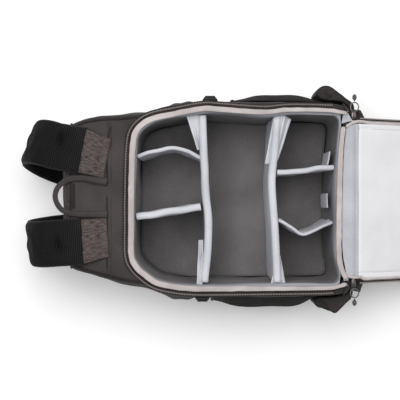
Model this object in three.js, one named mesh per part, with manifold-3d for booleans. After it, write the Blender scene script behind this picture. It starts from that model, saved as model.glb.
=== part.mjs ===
import * as THREE from 'three';
import { mergeVertices } from 'three/addons/utils/BufferGeometryUtils.js';
import Module from 'manifold-3d';

// A rear-access camera backpack lying on its front face with its back panel folded open.
// Millimetres, +Z up, floor at z = 0. The origin is under the middle of the compartment.
// +X runs to the base of the bag, -X to its top, +Y is the wearer's left.

const wasm = await Module();
wasm.setup();

// Driving sizes of the bag body.
const compartmentLength = 340;
const compartmentWidth = 288;
const sideMargin = 13;
const bodyDepth = 178;
const topReach = 103;
const baseReach = 10;
const clothWall = 3;
const lowerEdgeRadius = 20;
const rearEdgeRadius = 10;
const sideLean = 5;
const lowerTuck = 2;
const seamHeight = 26;
const yokeSkirt = 7;
const yokeOverlap = 18;
const crownStrip = 12;
const baseSeamGap = 2;
const baseCapReach = 22;
const baseCapShare = 0.8;

// Foam liner, rim binding and zip.
const foamWall = 10;
const linerFloorThickness = 10;
const linerWallFoot = 9;
const bindingHeight = 7.7;
const bindingShoulder = 0.62;
const bindingRound = 0.22;
const zipTapeWidth = 5.3;
const zipTapeThickness = 1.5;
const zipTeethWidth = 2.6;
const zipTeethHeight = 1.2;
const zipEndShare = 0.93;

// Back panel, folded down past the base until its far edge meets the floor.
const flapLength = 335;
const flapWidth = 246;
const flapThickness = 12;
const flapFarRadius = 34;
const flapNearRadius = 8;
const flapLeastRadius = 1;
const flapEdgeRadius = 3;
const flapLiningThickness = 1.5;
const flapBindingWidth = 4;
const flapBindingHeight = 2.3;
const flapBindingInset = 1.5;
const flapTapeWidth = 4;
const flapTapeThickness = 1.4;
const hingeSpan = 7;
const hingeRise = 3;
const hingeLap = 5;
const hingeThickness = 2;
const hingeStartShare = 0.88;
const hingeBendGap = 2;
const hingeSlack = 0.5;

// Harness.
const strapWidth = 69;
const strapThickness = 13;
const strapRootReach = 71;
const strapRootLength = 37;
const strapLoopGap = 10;
const strapLoopReach = 50;
const strapLoopDrop = 2;
const strapReturn = 40;
const strapTaper = 0.6;
const webbingWidth = 20;
const webbingThickness = 2;
const handleReach = 82;
const handleSpread = 62;
const handleWidth = 11;
const handleThickness = 8;
const crownZipInset = 2.5;
const crownZipWidth = 5;
const beltPadWidth = 75;
const beltPadFoot = 74.5;
const beltPadRoll = 6;
const beltPadBack = 7;
const beltPadTail = 14;

// Side pockets, tabs and zip pulls.
const pocketWall = 2;
const pocketFoot = 24;
const pocketHeight = 126;
const sideTabWidth = 24;
const sideTabThickness = 3;
const sideTabDrop = 104;
const sideTabHead = 6;
const sideTabNarrowing = 0.3;
const sliderLength = 14;
const sliderWidth = 9;
const sliderHeight = 5;
const sliderTaper = 0.7;
const sliderInset = 3;
const sliderOut = 8;
const pullSwing = 2;
const pullRingRadius = 7.5;
const pullWire = 1.3;
const pullBeadRadius = 4;
const pullBeadReach = 15;
const pullCordRadius = 1.1;

// Clearances between pieces that touch.
const seat = 0.3;
const softSeat = 0.6;
const clearOfCurve = 0.8;

const bodyWidth = compartmentWidth + 2 * sideMargin;
const halfCompartment = compartmentLength / 2;
const halfOpeningWidth = compartmentWidth / 2;
const bodyTopX = -halfCompartment - topReach;
const bodyBaseX = halfCompartment + baseReach;
const bodyLength = bodyBaseX - bodyTopX;
const crownSeamX = bodyTopX + crownStrip;
const strapRootX = bodyTopX + strapRootReach;
const strapLoopStart = bodyTopX - strapLoopGap;

// Body sections from the top end to the base. Columns are shares: along of the body length,
// wide of half the body width, under and rear of the body depth.
const bodyStations = [
  { along: 0.000, wide: 0.590, under: 0.540, rear: 0.843 },
  { along: 0.007, wide: 0.670, under: 0.472, rear: 0.899 },
  { along: 0.020, wide: 0.722, under: 0.404, rear: 0.933 },
  { along: 0.057, wide: 0.776, under: 0.309, rear: 0.955 },
  { along: 0.117, wide: 0.824, under: 0.191, rear: 0.972 },
  { along: 0.179, wide: 0.860, under: 0.079, rear: 0.989 },
  { along: 0.230, wide: 0.888, under: 0.000, rear: 1.000 },
  { along: 0.285, wide: 0.910, under: 0.000, rear: 1.000 },
  { along: 0.333, wide: 0.940, under: 0.000, rear: 1.000 },
  { along: 0.400, wide: 0.982, under: 0.000, rear: 1.000 },
  { along: 0.510, wide: 0.992, under: 0.000, rear: 1.000 },
  { along: 0.687, wide: 1.000, under: 0.000, rear: 1.000 },
  { along: 0.885, wide: 0.988, under: 0.000, rear: 1.000 },
  { along: 0.969, wide: 0.968, under: 0.000, rear: 1.000 },
  { along: 0.987, wide: 0.943, under: 0.017, rear: 0.983 },
  { along: 1.000, wide: 0.885, under: 0.056, rear: 0.944 },
];

// Outline of the compartment's rim, clockwise seen from above. Columns are shares of half its
// length and half its width. The base side bows inwards and the long sides wave a little.
const rimOutline = [
  { along: -0.996, across: 0.00 },
  { along: -0.983, across: 0.53 },
  { along: -0.945, across: 0.745 },
  { along: -0.808, across: 0.880 },
  { along: -0.576, across: 0.945 },
  { along: -0.312, across: 1.000 },
  { along: -0.158, across: 0.992 },
  { along: 0.116, across: 0.967 },
  { along: 0.280, across: 0.961 },
  { along: 0.481, across: 0.982 },
  { along: 0.820, across: 0.975 },
  { along: 0.925, across: 0.958 },
  { along: 0.984, across: 0.885 },
  { along: 0.993, across: 0.780 },
  { along: 0.974, across: 0.560 },
  { along: 0.964, across: 0.312 },
  { along: 0.957, across: 0.00 },
  { along: 0.954, across: -0.347 },
  { along: 0.962, across: -0.600 },
  { along: 0.988, across: -0.780 },
  { along: 0.984, across: -0.890 },
  { along: 0.930, across: -0.965 },
  { along: 0.820, across: -0.984 },
  { along: 0.571, across: -0.990 },
  { along: -0.158, across: -1.000 },
  { along: -0.371, across: -1.000 },
  { along: -0.546, across: -0.985 },
  { along: -0.744, across: -0.934 },
  { along: -0.876, across: -0.831 },
  { along: -0.953, across: -0.734 },
  { along: -0.994, across: -0.604 },
  { along: -0.996, across: -0.278 },
];

const colours = {
  nylon: { color: 0x2f2c2d, roughness: 0.85, metalness: 0 },
  yokeNylon: { color: 0x4b4646, roughness: 0.85, metalness: 0 },
  airMesh: { color: 0x201e1f, roughness: 0.95, metalness: 0 },
  heather: { color: 0x5a504e, roughness: 0.9, metalness: 0 },
  binding: { color: 0xc9c2c0, roughness: 0.8, metalness: 0 },
  liningWall: { color: 0x77706f, roughness: 0.95, metalness: 0 },
  liningLight: { color: 0xcfd1d6, roughness: 0.9, metalness: 0 },
  zipTape: { color: 0x28221f, roughness: 0.8, metalness: 0 },
  zipTeeth: { color: 0x4a4442, roughness: 0.5, metalness: 0 },
  gunmetal: { color: 0x6a6468, roughness: 0.35, metalness: 0.9 },
  plastic: { color: 0x1c1b1c, roughness: 0.45, metalness: 0 },
};

const bag = new THREE.Group();

function addPiece(parent, name, geometry, look) {
  const mesh = new THREE.Mesh(geometry, new THREE.MeshStandardMaterial(look));
  mesh.name = name;
  parent.add(mesh);
  return mesh;
}

// Value of one column of a station table at a place, straight between the rows.
function column(table, key, place) {
  const last = table.length - 1;
  for (let row = 0; row < last; row += 1) {
    const here = table[row];
    const next = table[row + 1];
    if (place <= next.along || row === last - 1) {
      const t = THREE.MathUtils.clamp((place - here.along) / (next.along - here.along), 0, 1);
      return THREE.MathUtils.lerp(here[key], next[key], t);
    }
  }
  return table[last][key];
}

const alongBody = (x) => (x - bodyTopX) / bodyLength;
const bodyHalfWidth = (x) => column(bodyStations, 'wide', alongBody(x)) * bodyWidth / 2;
const rearHeight = (x) => column(bodyStations, 'rear', alongBody(x)) * bodyDepth;
const underHeight = (x) => column(bodyStations, 'under', alongBody(x)) * bodyDepth;

// A closed geometry from vertices and faces, turned so that its faces point out.
function closedGeometry(vertices, faces) {
  let volume = 0;
  for (const [a, b, c] of faces) {
    const cross = new THREE.Vector3().crossVectors(vertices[b], vertices[c]);
    volume += vertices[a].dot(cross);
  }
  const outward = volume < 0 ? faces.map(([a, b, c]) => [a, c, b]) : faces;
  const geometry = new THREE.BufferGeometry();
  const places = vertices.flatMap((v) => v.toArray());
  geometry.setAttribute('position', new THREE.Float32BufferAttribute(places, 3));
  geometry.setIndex(outward.flat());
  geometry.computeVertexNormals();
  return geometry;
}

// Skin over a row of rings with the same number of points. Points i and last - i face each
// other across the section, so an open end is closed by a ladder of strips between them.
function loft(rings, joined = false) {
  const size = rings[0].length;
  const vertices = rings.flat();
  const faces = [];
  const spans = joined ? rings.length : rings.length - 1;
  for (let r = 0; r < spans; r += 1) {
    const here = r * size;
    const next = ((r + 1) % rings.length) * size;
    for (let i = 0; i < size; i += 1) {
      const j = (i + 1) % size;
      faces.push([here + i, here + j, next + j], [here + i, next + j, next + i]);
    }
  }
  if (!joined) {
    const end = (rings.length - 1) * size;
    for (let i = 0; i < size / 2 - 1; i += 1) {
      const far = size - 1 - i;
      faces.push([i, far, far - 1], [i, far - 1, i + 1]);
      faces.push([end + i, end + far - 1, end + far], [end + i, end + i + 1, end + far - 1]);
    }
  }
  return closedGeometry(vertices, faces);
}

function solidOf(geometry) {
  const bare = geometry.clone();
  bare.deleteAttribute('normal');
  bare.deleteAttribute('uv');
  const merged = mergeVertices(bare, 1e-4);
  const mesh = new wasm.Mesh({
    numProp: 3,
    vertProperties: new Float32Array(merged.attributes.position.array),
    triVerts: new Uint32Array(merged.index.array),
  });
  return new wasm.Manifold(mesh);
}

function geometryOf(solid) {
  const mesh = solid.getMesh();
  const geometry = new THREE.BufferGeometry();
  geometry.setAttribute('position', new THREE.Float32BufferAttribute(mesh.vertProperties, 3));
  geometry.setIndex(Array.from(mesh.triVerts));
  geometry.computeVertexNormals();
  return geometry;
}

function boxSolid(low, high) {
  const size = high.map((value, axis) => value - low[axis]);
  const geometry = new THREE.BoxGeometry(...size);
  geometry.translate(...low.map((value, axis) => value + size[axis] / 2));
  return solidOf(geometry);
}

// Upright prism over an outline of points.
function prism(points, low, high) {
  const shape = new THREE.Shape(points.map((p) => new THREE.Vector2(p.x, p.y)));
  const geometry = new THREE.ExtrudeGeometry(shape, { depth: high - low, bevelEnabled: false });
  geometry.translate(0, 0, low);
  return geometry;
}

// Rim path: evenly sampled outline with the outward normal at each point.
const rimSamples = 72;
const rimCurve = new THREE.CatmullRomCurve3(
  rimOutline.map((p) => new THREE.Vector3(p.along * halfCompartment, p.across * halfOpeningWidth, 0)),
  true,
);
const rimPath = Array.from({ length: rimSamples }, (_, i) => {
  const t = i / rimSamples;
  const tangent = rimCurve.getTangent(t);
  return { point: rimCurve.getPoint(t), outward: new THREE.Vector3(-tangent.y, tangent.x, 0).normalize() };
});
const rimOffset = (distance) => rimPath.map(
  ({ point, outward }) => point.clone().addScaledVector(outward, distance),
);

// Strip with a section of [outward, height] pairs carried along part of the rim path.
function rimStrip(path, section, joined) {
  const rings = path.map(({ point, outward }) => section.map(
    ([out, height]) => point.clone().addScaledVector(outward, out).setZ(height),
  ));
  return loft(rings, joined);
}

const rearZ = bodyDepth;
const rimTopZ = rearZ + seat + bindingHeight;

// Section of the body at one station: rounded lower and rear edges, sides leaning in upwards.
function bodySection(station, inset) {
  const x = THREE.MathUtils.lerp(bodyTopX + inset, bodyBaseX - inset, station.along);
  const wide = station.wide * bodyWidth / 2 - inset;
  const under = station.under * bodyDepth + inset;
  const rear = station.rear * bodyDepth - inset;
  const height = rear - under;
  const low = Math.min(lowerEdgeRadius - inset, height / 3);
  const top = Math.min(rearEdgeRadius - inset, height / 3);
  const steps = 5;
  const half = [];
  for (let i = 0; i <= steps; i += 1) {
    const turn = (i / steps) * Math.PI / 2;
    half.push([wide - lowerTuck - low + low * Math.sin(turn), under + low - low * Math.cos(turn)]);
  }
  half.push([wide, under + height / 2]);
  for (let i = 0; i <= steps; i += 1) {
    const turn = (i / steps) * Math.PI / 2;
    half.push([wide - sideLean - top + top * Math.cos(turn), rear - top + top * Math.sin(turn)]);
  }
  const right = half.map(([y, z]) => new THREE.Vector3(x, y, z));
  const left = half.map(([y, z]) => new THREE.Vector3(x, -y, z)).reverse();
  return [...right, ...left];
}

// Half width of the body's side wall at a height between its rounded edges.
function sideHalfWidth(x, z) {
  const wide = bodyHalfWidth(x);
  const under = underHeight(x);
  const rear = rearHeight(x);
  const middle = (under + rear) / 2;
  if (z < middle) {
    const foot = under + lowerEdgeRadius;
    const t = THREE.MathUtils.clamp((z - foot) / (middle - foot), 0, 1);
    return wide - lowerTuck * (1 - t);
  }
  const t = THREE.MathUtils.clamp((z - middle) / (rear - rearEdgeRadius - middle), 0, 1);
  return wide - sideLean * t;
}

// Layer that follows the body's length between two heights, used to cut the shell along seams.
function seamLayer(lowOf, highOf, fromX, toX) {
  const xs = bodyStations.map((station) => bodyTopX + station.along * bodyLength);
  const inside = xs.filter((x) => x > fromX && x < toX);
  const reach = bodyWidth;
  const rings = [fromX, ...inside, toX].map((x) => [
    new THREE.Vector3(x, -reach, lowOf(x)),
    new THREE.Vector3(x, reach, lowOf(x)),
    new THREE.Vector3(x, reach, highOf(x)),
    new THREE.Vector3(x, -reach, highOf(x)),
  ]);
  return solidOf(loft(rings));
}

// Cloth body: one hollow shell, open at the rim, cut into its sewn panels.
function addBody() {
  const outer = solidOf(loft(bodyStations.map((station) => bodySection(station, 0))));
  const inner = solidOf(loft(bodyStations.map((station) => bodySection(station, clothWall))));
  const mouth = solidOf(prism(rimOffset(seat), rearZ / 2, rearZ * 2));
  const shell = outer.subtract(inner).subtract(mouth);
  const far = bodyLength;
  const half = seat / 2;
  const baseX = halfCompartment - baseSeamGap;
  const baseCapX = baseX - baseCapReach;
  const baseCapY = halfOpeningWidth * baseCapShare;
  const capZ = rearZ - rearEdgeRadius;
  const baseRegion = (gap) => boxSolid([baseX + gap, -far, -far], [far, far, far])
    .add(boxSolid([baseCapX + gap, -baseCapY + gap, capZ + gap], [far, baseCapY - gap, far]));
  const middle = shell
    .subtract(boxSolid([-far, -far, -far], [crownSeamX + half, far, far]))
    .subtract(baseRegion(-half));
  const frontTop = (gap) => (x) => underHeight(x) + seamHeight + gap;
  const yokeFoot = (gap) => (x) => rearHeight(x) - yokeSkirt + gap;
  const below = () => -far;
  const above = () => far;
  const yokeEndX = yokeOverlap - halfCompartment;
  const front = middle.intersect(seamLayer(below, frontTop(-half), bodyTopX, bodyBaseX));
  const upper = middle.subtract(seamLayer(below, frontTop(half), bodyTopX, bodyBaseX));
  const yoke = upper.intersect(seamLayer(yokeFoot(half), above, bodyTopX, yokeEndX - half));
  const sides = upper.subtract(seamLayer(yokeFoot(-half), above, bodyTopX, yokeEndX + half));
  addPiece(bag, 'front_panel', geometryOf(front), colours.nylon);
  addPiece(bag, 'yoke_panel', geometryOf(yoke), colours.yokeNylon);
  const leftSide = sides.intersect(boxSolid([-far, half, -far], [far, far, far]));
  const rightSide = sides.intersect(boxSolid([-far, -far, -far], [far, -half, far]));
  const crown = shell.intersect(boxSolid([-far, -far, -far], [crownSeamX - half, far, far]));
  addPiece(bag, 'left_side_panel', geometryOf(leftSide), colours.nylon);
  addPiece(bag, 'right_side_panel', geometryOf(rightSide), colours.nylon);
  addPiece(bag, 'crown_panel', geometryOf(crown), colours.heather);
  addPiece(bag, 'base_panel', geometryOf(shell.intersect(baseRegion(half))), colours.nylon);
}

// Foam liner: floor tray inside a padded ring wall, both inside the cloth body.
const linerFloorZ = clothWall + seat;
const linerFloorTop = linerFloorZ + linerFloorThickness;
const cavityOutline = rimOffset(-foamWall - seat);

function addLiner() {
  addPiece(bag, 'liner_floor', prism(cavityOutline, linerFloorZ, linerFloorTop), colours.liningWall);
  const wall = [[-foamWall, linerWallFoot], [0, linerWallFoot], [0, rearZ], [-foamWall, rearZ]];
  addPiece(bag, 'liner_wall', rimStrip(rimPath, wall, true), colours.liningWall);
}

// Binding: folded tape over the top of the liner wall, rounded on both shoulders.
function addRimBinding() {
  const low = rearZ + seat;
  const shoulder = low + bindingHeight * bindingShoulder;
  const round = foamWall * bindingRound;
  const section = [
    [-foamWall, low], [0, low], [0, shoulder],
    [-round, rimTopZ], [round - foamWall, rimTopZ], [-foamWall, shoulder],
  ];
  addPiece(bag, 'rim_binding', rimStrip(rimPath, section, true), colours.binding);
}

// Zip round three sides of the rim: flat tape with a raised row of teeth.
function addZip() {
  const lastX = halfCompartment * zipEndShare;
  const onTape = rimPath.map(({ point }) => point.x < lastX);
  const start = onTape.findIndex((on, i) => on && !onTape[(i + rimSamples - 1) % rimSamples]);
  const path = [];
  for (let i = 0; i < rimSamples; i += 1) {
    const place = (start + i) % rimSamples;
    if (!onTape[place]) break;
    path.push(rimPath[place]);
  }
  const low = rearZ + seat;
  const high = low + zipTapeThickness;
  const tape = [[seat, low], [seat + zipTapeWidth, low], [seat + zipTapeWidth, high], [seat, high]];
  addPiece(bag, 'zip_tape', rimStrip(path, tape, false), colours.zipTape);
  const middle = seat + zipTapeWidth / 2;
  const foot = high + seat;
  const crest = foot + zipTeethHeight;
  const halfTeeth = zipTeethWidth / 2;
  const teeth = [
    [middle - halfTeeth, foot], [middle + halfTeeth, foot],
    [middle + halfTeeth, crest], [middle - halfTeeth, crest],
  ];
  addPiece(bag, 'zip_teeth', rimStrip(path, teeth, false), colours.zipTeeth);
}

// Padded dividers. Each row: its piece name, thickness, top as a share of the body depth, the
// walls it ends at and its run in shares of half the compartment's length and width.
const dividers = [
  {
    name: 'long_divider_top_side', thickness: 12, top: 0.955, stops: [],
    run: [[-0.322, 1.05], [-0.308, 0.52], [-0.294, 0.31], [-0.285, 0.04], [-0.262, -0.34], [-0.304, -1.05]],
  },
  {
    name: 'long_divider_base_side', thickness: 12, top: 0.955, stops: [],
    run: [[0.375, 1.05], [0.352, 0.55], [0.330, 0.25], [0.335, 0.0], [0.352, -0.35], [0.378, -1.05]],
  },
  {
    name: 'curved_divider', thickness: 6, top: 0.90, stops: [0],
    run: [[-1.05, 0.40], [-0.86, 0.49], [-0.62, 0.56], [-0.46, 0.52], [-0.20, 0.38]],
  },
  {
    name: 'cross_divider_top_side', thickness: 11, top: 0.94, stops: [0],
    run: [[-1.05, -0.22], [-0.62, -0.145], [-0.20, -0.06]],
  },
  {
    name: 'cross_divider_base_side', thickness: 8, top: 0.92, stops: [1],
    run: [[0.25, 0.27], [0.64, 0.315], [1.05, 0.37]],
  },
  {
    name: 'sling_divider', thickness: 5, top: 0.86, stops: [1],
    run: [[0.25, -0.16], [0.40, -0.24], [0.61, -0.385], [0.80, -0.31], [1.05, -0.12]],
  },
];

function dividerPrism({ thickness, top, run }, extra) {
  const points = run.map(([along, across]) => new THREE.Vector3(
    along * halfCompartment, across * halfOpeningWidth, 0,
  ));
  const curve = new THREE.CatmullRomCurve3(points);
  const steps = (run.length - 1) * 3;
  const offset = thickness / 2 + extra;
  const one = [];
  const other = [];
  for (let i = 0; i <= steps; i += 1) {
    const t = i / steps;
    const point = curve.getPoint(t);
    const tangent = curve.getTangent(t);
    const side = new THREE.Vector3(-tangent.y, tangent.x, 0).normalize();
    one.push(point.clone().addScaledVector(side, offset));
    other.push(point.clone().addScaledVector(side, -offset));
  }
  return solidOf(prism([...one, ...other.reverse()], linerFloorTop + seat, top * bodyDepth));
}

function addDividers() {
  const cavity = solidOf(prism(cavityOutline, 0, rearZ));
  for (const divider of dividers) {
    let solid = dividerPrism(divider, 0).intersect(cavity);
    for (const stop of divider.stops) {
      solid = solid.subtract(dividerPrism({ ...dividers[stop], top: 1 }, seat));
      const edge = dividers[stop].run[0][0] * halfCompartment;
      const keepTopSide = stop === 0;
      const low = keepTopSide ? -compartmentLength : edge;
      const high = keepTopSide ? edge : compartmentLength;
      solid = solid.intersect(boxSolid([low, -bodyWidth, 0], [high, bodyWidth, bodyDepth]));
    }
    addPiece(bag, divider.name, geometryOf(solid), colours.liningLight);
  }
}

// Hinge line of the back panel, and the slope that lays its far lower edge on the floor.
const hingeX = bodyBaseX + hingeSpan;
const hingeZ = rearZ + hingeRise;
const flapFoot = flapLength - flapEdgeRadius;
const flapSlope = Math.asin(hingeZ / Math.hypot(flapFoot, flapThickness))
  - Math.atan2(flapThickness, flapFoot);
const flapAlong = new THREE.Vector3(Math.cos(flapSlope), 0, -Math.sin(flapSlope));
const flapUp = new THREE.Vector3(Math.sin(flapSlope), 0, Math.cos(flapSlope));
const hingePoint = new THREE.Vector3(hingeX, 0, hingeZ);
const onFlap = (along, up) => hingePoint.clone()
  .addScaledVector(flapAlong, along)
  .addScaledVector(flapUp, up);

// Lining strip that bridges from the rim over the base's edge on to the back panel.
function addHingeGusset() {
  const startX = halfCompartment * hingeStartShare;
  const low = rearZ + seat;
  const bendX = bodyBaseX - hingeBendGap;
  const half = flapWidth / 2 - flapNearRadius;
  const under = [
    new THREE.Vector3(startX, 0, low),
    new THREE.Vector3(bendX, 0, low),
    onFlap(-2 * hingeSlack, seat + hingeSlack),
    onFlap(hingeLap, seat),
  ];
  const over = [
    new THREE.Vector3(startX, 0, low + hingeThickness),
    new THREE.Vector3(bendX, 0, low + hingeThickness),
    onFlap(0, seat + hingeThickness + hingeSlack),
    onFlap(hingeLap, seat + hingeThickness),
  ];
  const section = [...under, ...over.reverse()];
  const rings = [-half, half].map((y) => section.map((p) => p.clone().setY(y)));
  const strip = solidOf(loft(rings)).subtract(solidOf(prism(rimOffset(seat), 0, rearZ * 2)));
  addPiece(bag, 'hinge_gusset', geometryOf(strip), colours.liningLight);
}

// Rounded rectangle of the back panel seen square on, set in from its edge.
function flapOutline(inset) {
  const half = flapWidth / 2 - inset;
  const near = inset;
  const far = flapLength - inset;
  const nearRadius = Math.max(flapNearRadius - inset, flapLeastRadius);
  const farRadius = Math.max(flapFarRadius - inset, flapLeastRadius);
  const shape = new THREE.Shape();
  shape.moveTo(near + nearRadius, -half);
  shape.lineTo(far - farRadius, -half);
  shape.absarc(far - farRadius, -half + farRadius, farRadius, -Math.PI / 2, 0, false);
  shape.lineTo(far, half - farRadius);
  shape.absarc(far - farRadius, half - farRadius, farRadius, 0, Math.PI / 2, false);
  shape.lineTo(near + nearRadius, half);
  shape.absarc(near + nearRadius, half - nearRadius, nearRadius, Math.PI / 2, Math.PI, false);
  shape.lineTo(near, -half + nearRadius);
  shape.absarc(near + nearRadius, -half + nearRadius, nearRadius, Math.PI, Math.PI * 1.5, false);
  return shape;
}

function slab(shape, low, high, bevel) {
  const geometry = new THREE.ExtrudeGeometry(shape, {
    depth: high - low - 2 * bevel,
    bevelEnabled: bevel > 0,
    bevelThickness: bevel,
    bevelSize: bevel,
    bevelOffset: -bevel,
    bevelSegments: 1,
    curveSegments: 5,
  });
  geometry.translate(0, 0, low + bevel);
  return geometry;
}

// Back panel: foam board in cloth, light lining, binding ring and the zip tape on three sides.
function addFlap() {
  const flap = new THREE.Group();
  flap.position.copy(hingePoint);
  flap.rotation.y = flapSlope;
  bag.add(flap);
  addPiece(flap, 'flap_board', slab(flapOutline(0), -flapThickness, 0, flapEdgeRadius), colours.nylon);
  const bindingInner = flapBindingInset + flapBindingWidth;
  const frontCut = solidOf(prism([
    new THREE.Vector2(-flapWidth, -flapWidth), new THREE.Vector2(hingeLap + seat, -flapWidth),
    new THREE.Vector2(hingeLap + seat, flapWidth), new THREE.Vector2(-flapWidth, flapWidth),
  ], -flapWidth, flapWidth));
  const lining = solidOf(slab(flapOutline(bindingInner + seat), seat, seat + flapLiningThickness, 0));
  addPiece(flap, 'flap_lining', geometryOf(lining.subtract(frontCut)), colours.liningLight);
  const ring = solidOf(slab(flapOutline(flapBindingInset), seat, seat + flapBindingHeight, 0))
    .subtract(solidOf(slab(flapOutline(bindingInner), -flapBindingHeight, 2 * flapBindingHeight, 0)))
    .subtract(frontCut);
  addPiece(flap, 'flap_binding', geometryOf(ring), colours.binding);
  const tapeLow = -flapThickness / 2;
  const tapeHigh = tapeLow + flapTapeThickness;
  const tape = solidOf(slab(flapOutline(-seat - flapTapeWidth), tapeLow, tapeHigh, 0))
    .subtract(solidOf(slab(flapOutline(-seat), -flapThickness, flapThickness, 0)))
    .subtract(frontCut);
  addPiece(flap, 'flap_zip_tape', geometryOf(tape), colours.zipTape);
}

// Soft flat section, thickest in the middle, carried along a path with a given width direction.
// Rows of the profile: share of the half width, share of the half thickness.
const padProfile = [[-1, 0.42], [-0.93, 0.8], [-0.75, 1], [0, 1], [0.75, 1], [0.93, 0.8], [1, 0.42]];
const webProfile = [[-1, 1], [1, 1]];

function ribbon(points, widthDirections, widths, thickness, profile) {
  const last = points.length - 1;
  const rings = points.map((point, i) => {
    const tangent = points[Math.min(i + 1, last)].clone().sub(points[Math.max(i - 1, 0)]).normalize();
    const wide = widthDirections[i].clone().addScaledVector(tangent, -widthDirections[i].dot(tangent));
    wide.normalize();
    const thick = new THREE.Vector3().crossVectors(tangent, wide);
    const at = (w, h) => point.clone()
      .addScaledVector(wide, w * widths[i] / 2)
      .addScaledVector(thick, h * thickness / 2);
    const low = profile.map(([w, h]) => at(w, -h));
    const high = profile.map(([w, h]) => at(w, h)).reverse();
    return [...low, ...high];
  });
  return loft(rings);
}

// Route of a shoulder strap: out over the yoke, down round a loop past the bag's top, and back
// along the floor under the raised top end. Spread and fold slant differ on the two sides.
const straps = [
  { name: 'left', side: 1, across: 67, spread: 0.19, slant: 0.33 },
  { name: 'right', side: -1, across: 64.5, spread: 0.06, slant: 0.10 },
];

function strapRoute({ side, across, spread, slant }) {
  const axis = new THREE.Vector3(Math.sin(slant), side * Math.cos(slant), 0);
  const outward = new THREE.Vector3(-Math.cos(slant), side * Math.sin(slant), 0);
  const drift = Math.tan(Math.atan(spread) - slant);
  const points = [];
  const wides = [];
  const runs = 8;
  const lift = strapThickness / 2 + softSeat;
  for (let i = 0; i < runs; i += 1) {
    const x = THREE.MathUtils.lerp(strapRootX, strapLoopStart, i / runs);
    const y = side * (across + spread * (strapRootX - x));
    const uphill = x + spread * strapWidth / 2 + strapThickness / 2;
    points.push(new THREE.Vector3(x, y, rearHeight(Math.max(uphill, crownSeamX)) + lift));
    wides.push(new THREE.Vector3(spread, side, 0).normalize());
  }
  const startY = side * (across + spread * (strapRootX - strapLoopStart));
  const startZ = points[runs - 1].z - strapLoopDrop;
  const floorZ = strapThickness / 2 + softSeat;
  const turns = 14;
  const loopLength = startZ - floorZ;
  for (let i = 0; i <= turns; i += 1) {
    const turn = (i / turns) * Math.PI;
    const point = new THREE.Vector3(strapLoopStart, startY, startZ)
      .addScaledVector(outward, strapLoopReach * Math.sin(turn))
      .addScaledVector(axis, drift * loopLength * (1 - Math.cos(turn)) / 2);
    point.z = THREE.MathUtils.lerp(startZ, floorZ, (1 - Math.cos(turn)) / 2);
    points.push(point);
    wides.push(axis);
  }
  const loopEnd = points[points.length - 1];
  const back = new THREE.Vector3(Math.cos(slant), -side * Math.sin(slant), 0);
  back.addScaledVector(axis, drift).normalize();
  const steps = 3;
  for (let i = 1; i <= steps; i += 1) {
    points.push(loopEnd.clone().addScaledVector(back, strapReturn * i / steps));
    wides.push(new THREE.Vector3(-back.y, back.x, 0).multiplyScalar(side));
  }
  return { points, wides, back };
}

// Shoulder strap: a woven root sewn into the yoke seam, then the padded mesh strap.
function addStrap(strap) {
  const { points, wides, back } = strapRoute(strap);
  const rootEndX = strapRootX - strapRootLength;
  const split = points.findIndex((point) => point.x < rootEndX);
  const t = (points[split - 1].x - rootEndX) / (points[split - 1].x - points[split].x);
  const cut = points[split - 1].clone().lerp(points[split], t);
  const away = points[split].clone().sub(points[split - 1]).normalize();
  const rootPoints = [...points.slice(0, split), cut];
  const rootWides = [...wides.slice(0, split), wides[split]];
  const rootWidths = rootPoints.map(() => strapWidth);
  addPiece(bag, `${strap.name}_strap_root`,
    ribbon(rootPoints, rootWides, rootWidths, strapThickness, padProfile), colours.heather);
  const padPoints = [cut.clone().addScaledVector(away, 2 * seat), ...points.slice(split)];
  const padWides = [wides[split], ...wides.slice(split)];
  const lastPad = padPoints.length - 1;
  const taperRows = 3;
  const padWidths = padPoints.map((_, i) => {
    const taper = Math.max(i - lastPad + taperRows, 0) / taperRows;
    return THREE.MathUtils.lerp(strapWidth, strapWidth * strapTaper, taper);
  });
  addPiece(bag, `${strap.name}_shoulder_pad`,
    ribbon(padPoints, padWides, padWidths, strapThickness, padProfile), colours.airMesh);
  addStrapWebbing(strap, padPoints[lastPad], back);
}

// Lower webbing: from the pad's end along the floor, out under the raised top end and down
// beside the bag's rounded lower edge to its base corner. Rows: share of the body's length from
// its top end, and share of the body's half width at that place.
const webbingRun = [
  { along: 0.155, out: 0.55 },
  { along: 0.166, out: 0.70 },
  { along: 0.179, out: 0.84 },
  { along: 0.214, out: 0.97 },
  { along: 0.272, out: 0.995 },
  { along: 0.382, out: 0.995 },
  { along: 0.603, out: 0.995 },
  { along: 0.800, out: 0.995 },
  { along: 0.934, out: 1.0 },
];

function addStrapWebbing({ name, side }, padEnd, back) {
  const floorZ = webbingThickness / 2 + seat;
  const first = padEnd.clone().addScaledVector(back, 3 * seat).setZ(floorZ);
  const lead = [0, 0.5, 1].map((share) => first.clone().addScaledVector(back, webbingWidth * share));
  const route = webbingRun.map(({ along, out }) => {
    const x = bodyTopX + along * bodyLength;
    return new THREE.Vector3(x, side * out * bodyHalfWidth(x), floorZ);
  });
  const curve = new THREE.CatmullRomCurve3([...lead, ...route]);
  const steps = 36;
  const points = curve.getPoints(steps);
  const wides = points.map((_, i) => {
    const tangent = curve.getTangent(i / steps);
    return new THREE.Vector3(-tangent.y, tangent.x, 0);
  });
  addPiece(bag, `${name}_strap_webbing`,
    ribbon(points, wides, points.map(() => webbingWidth), webbingThickness, webProfile), colours.nylon);
}

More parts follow.
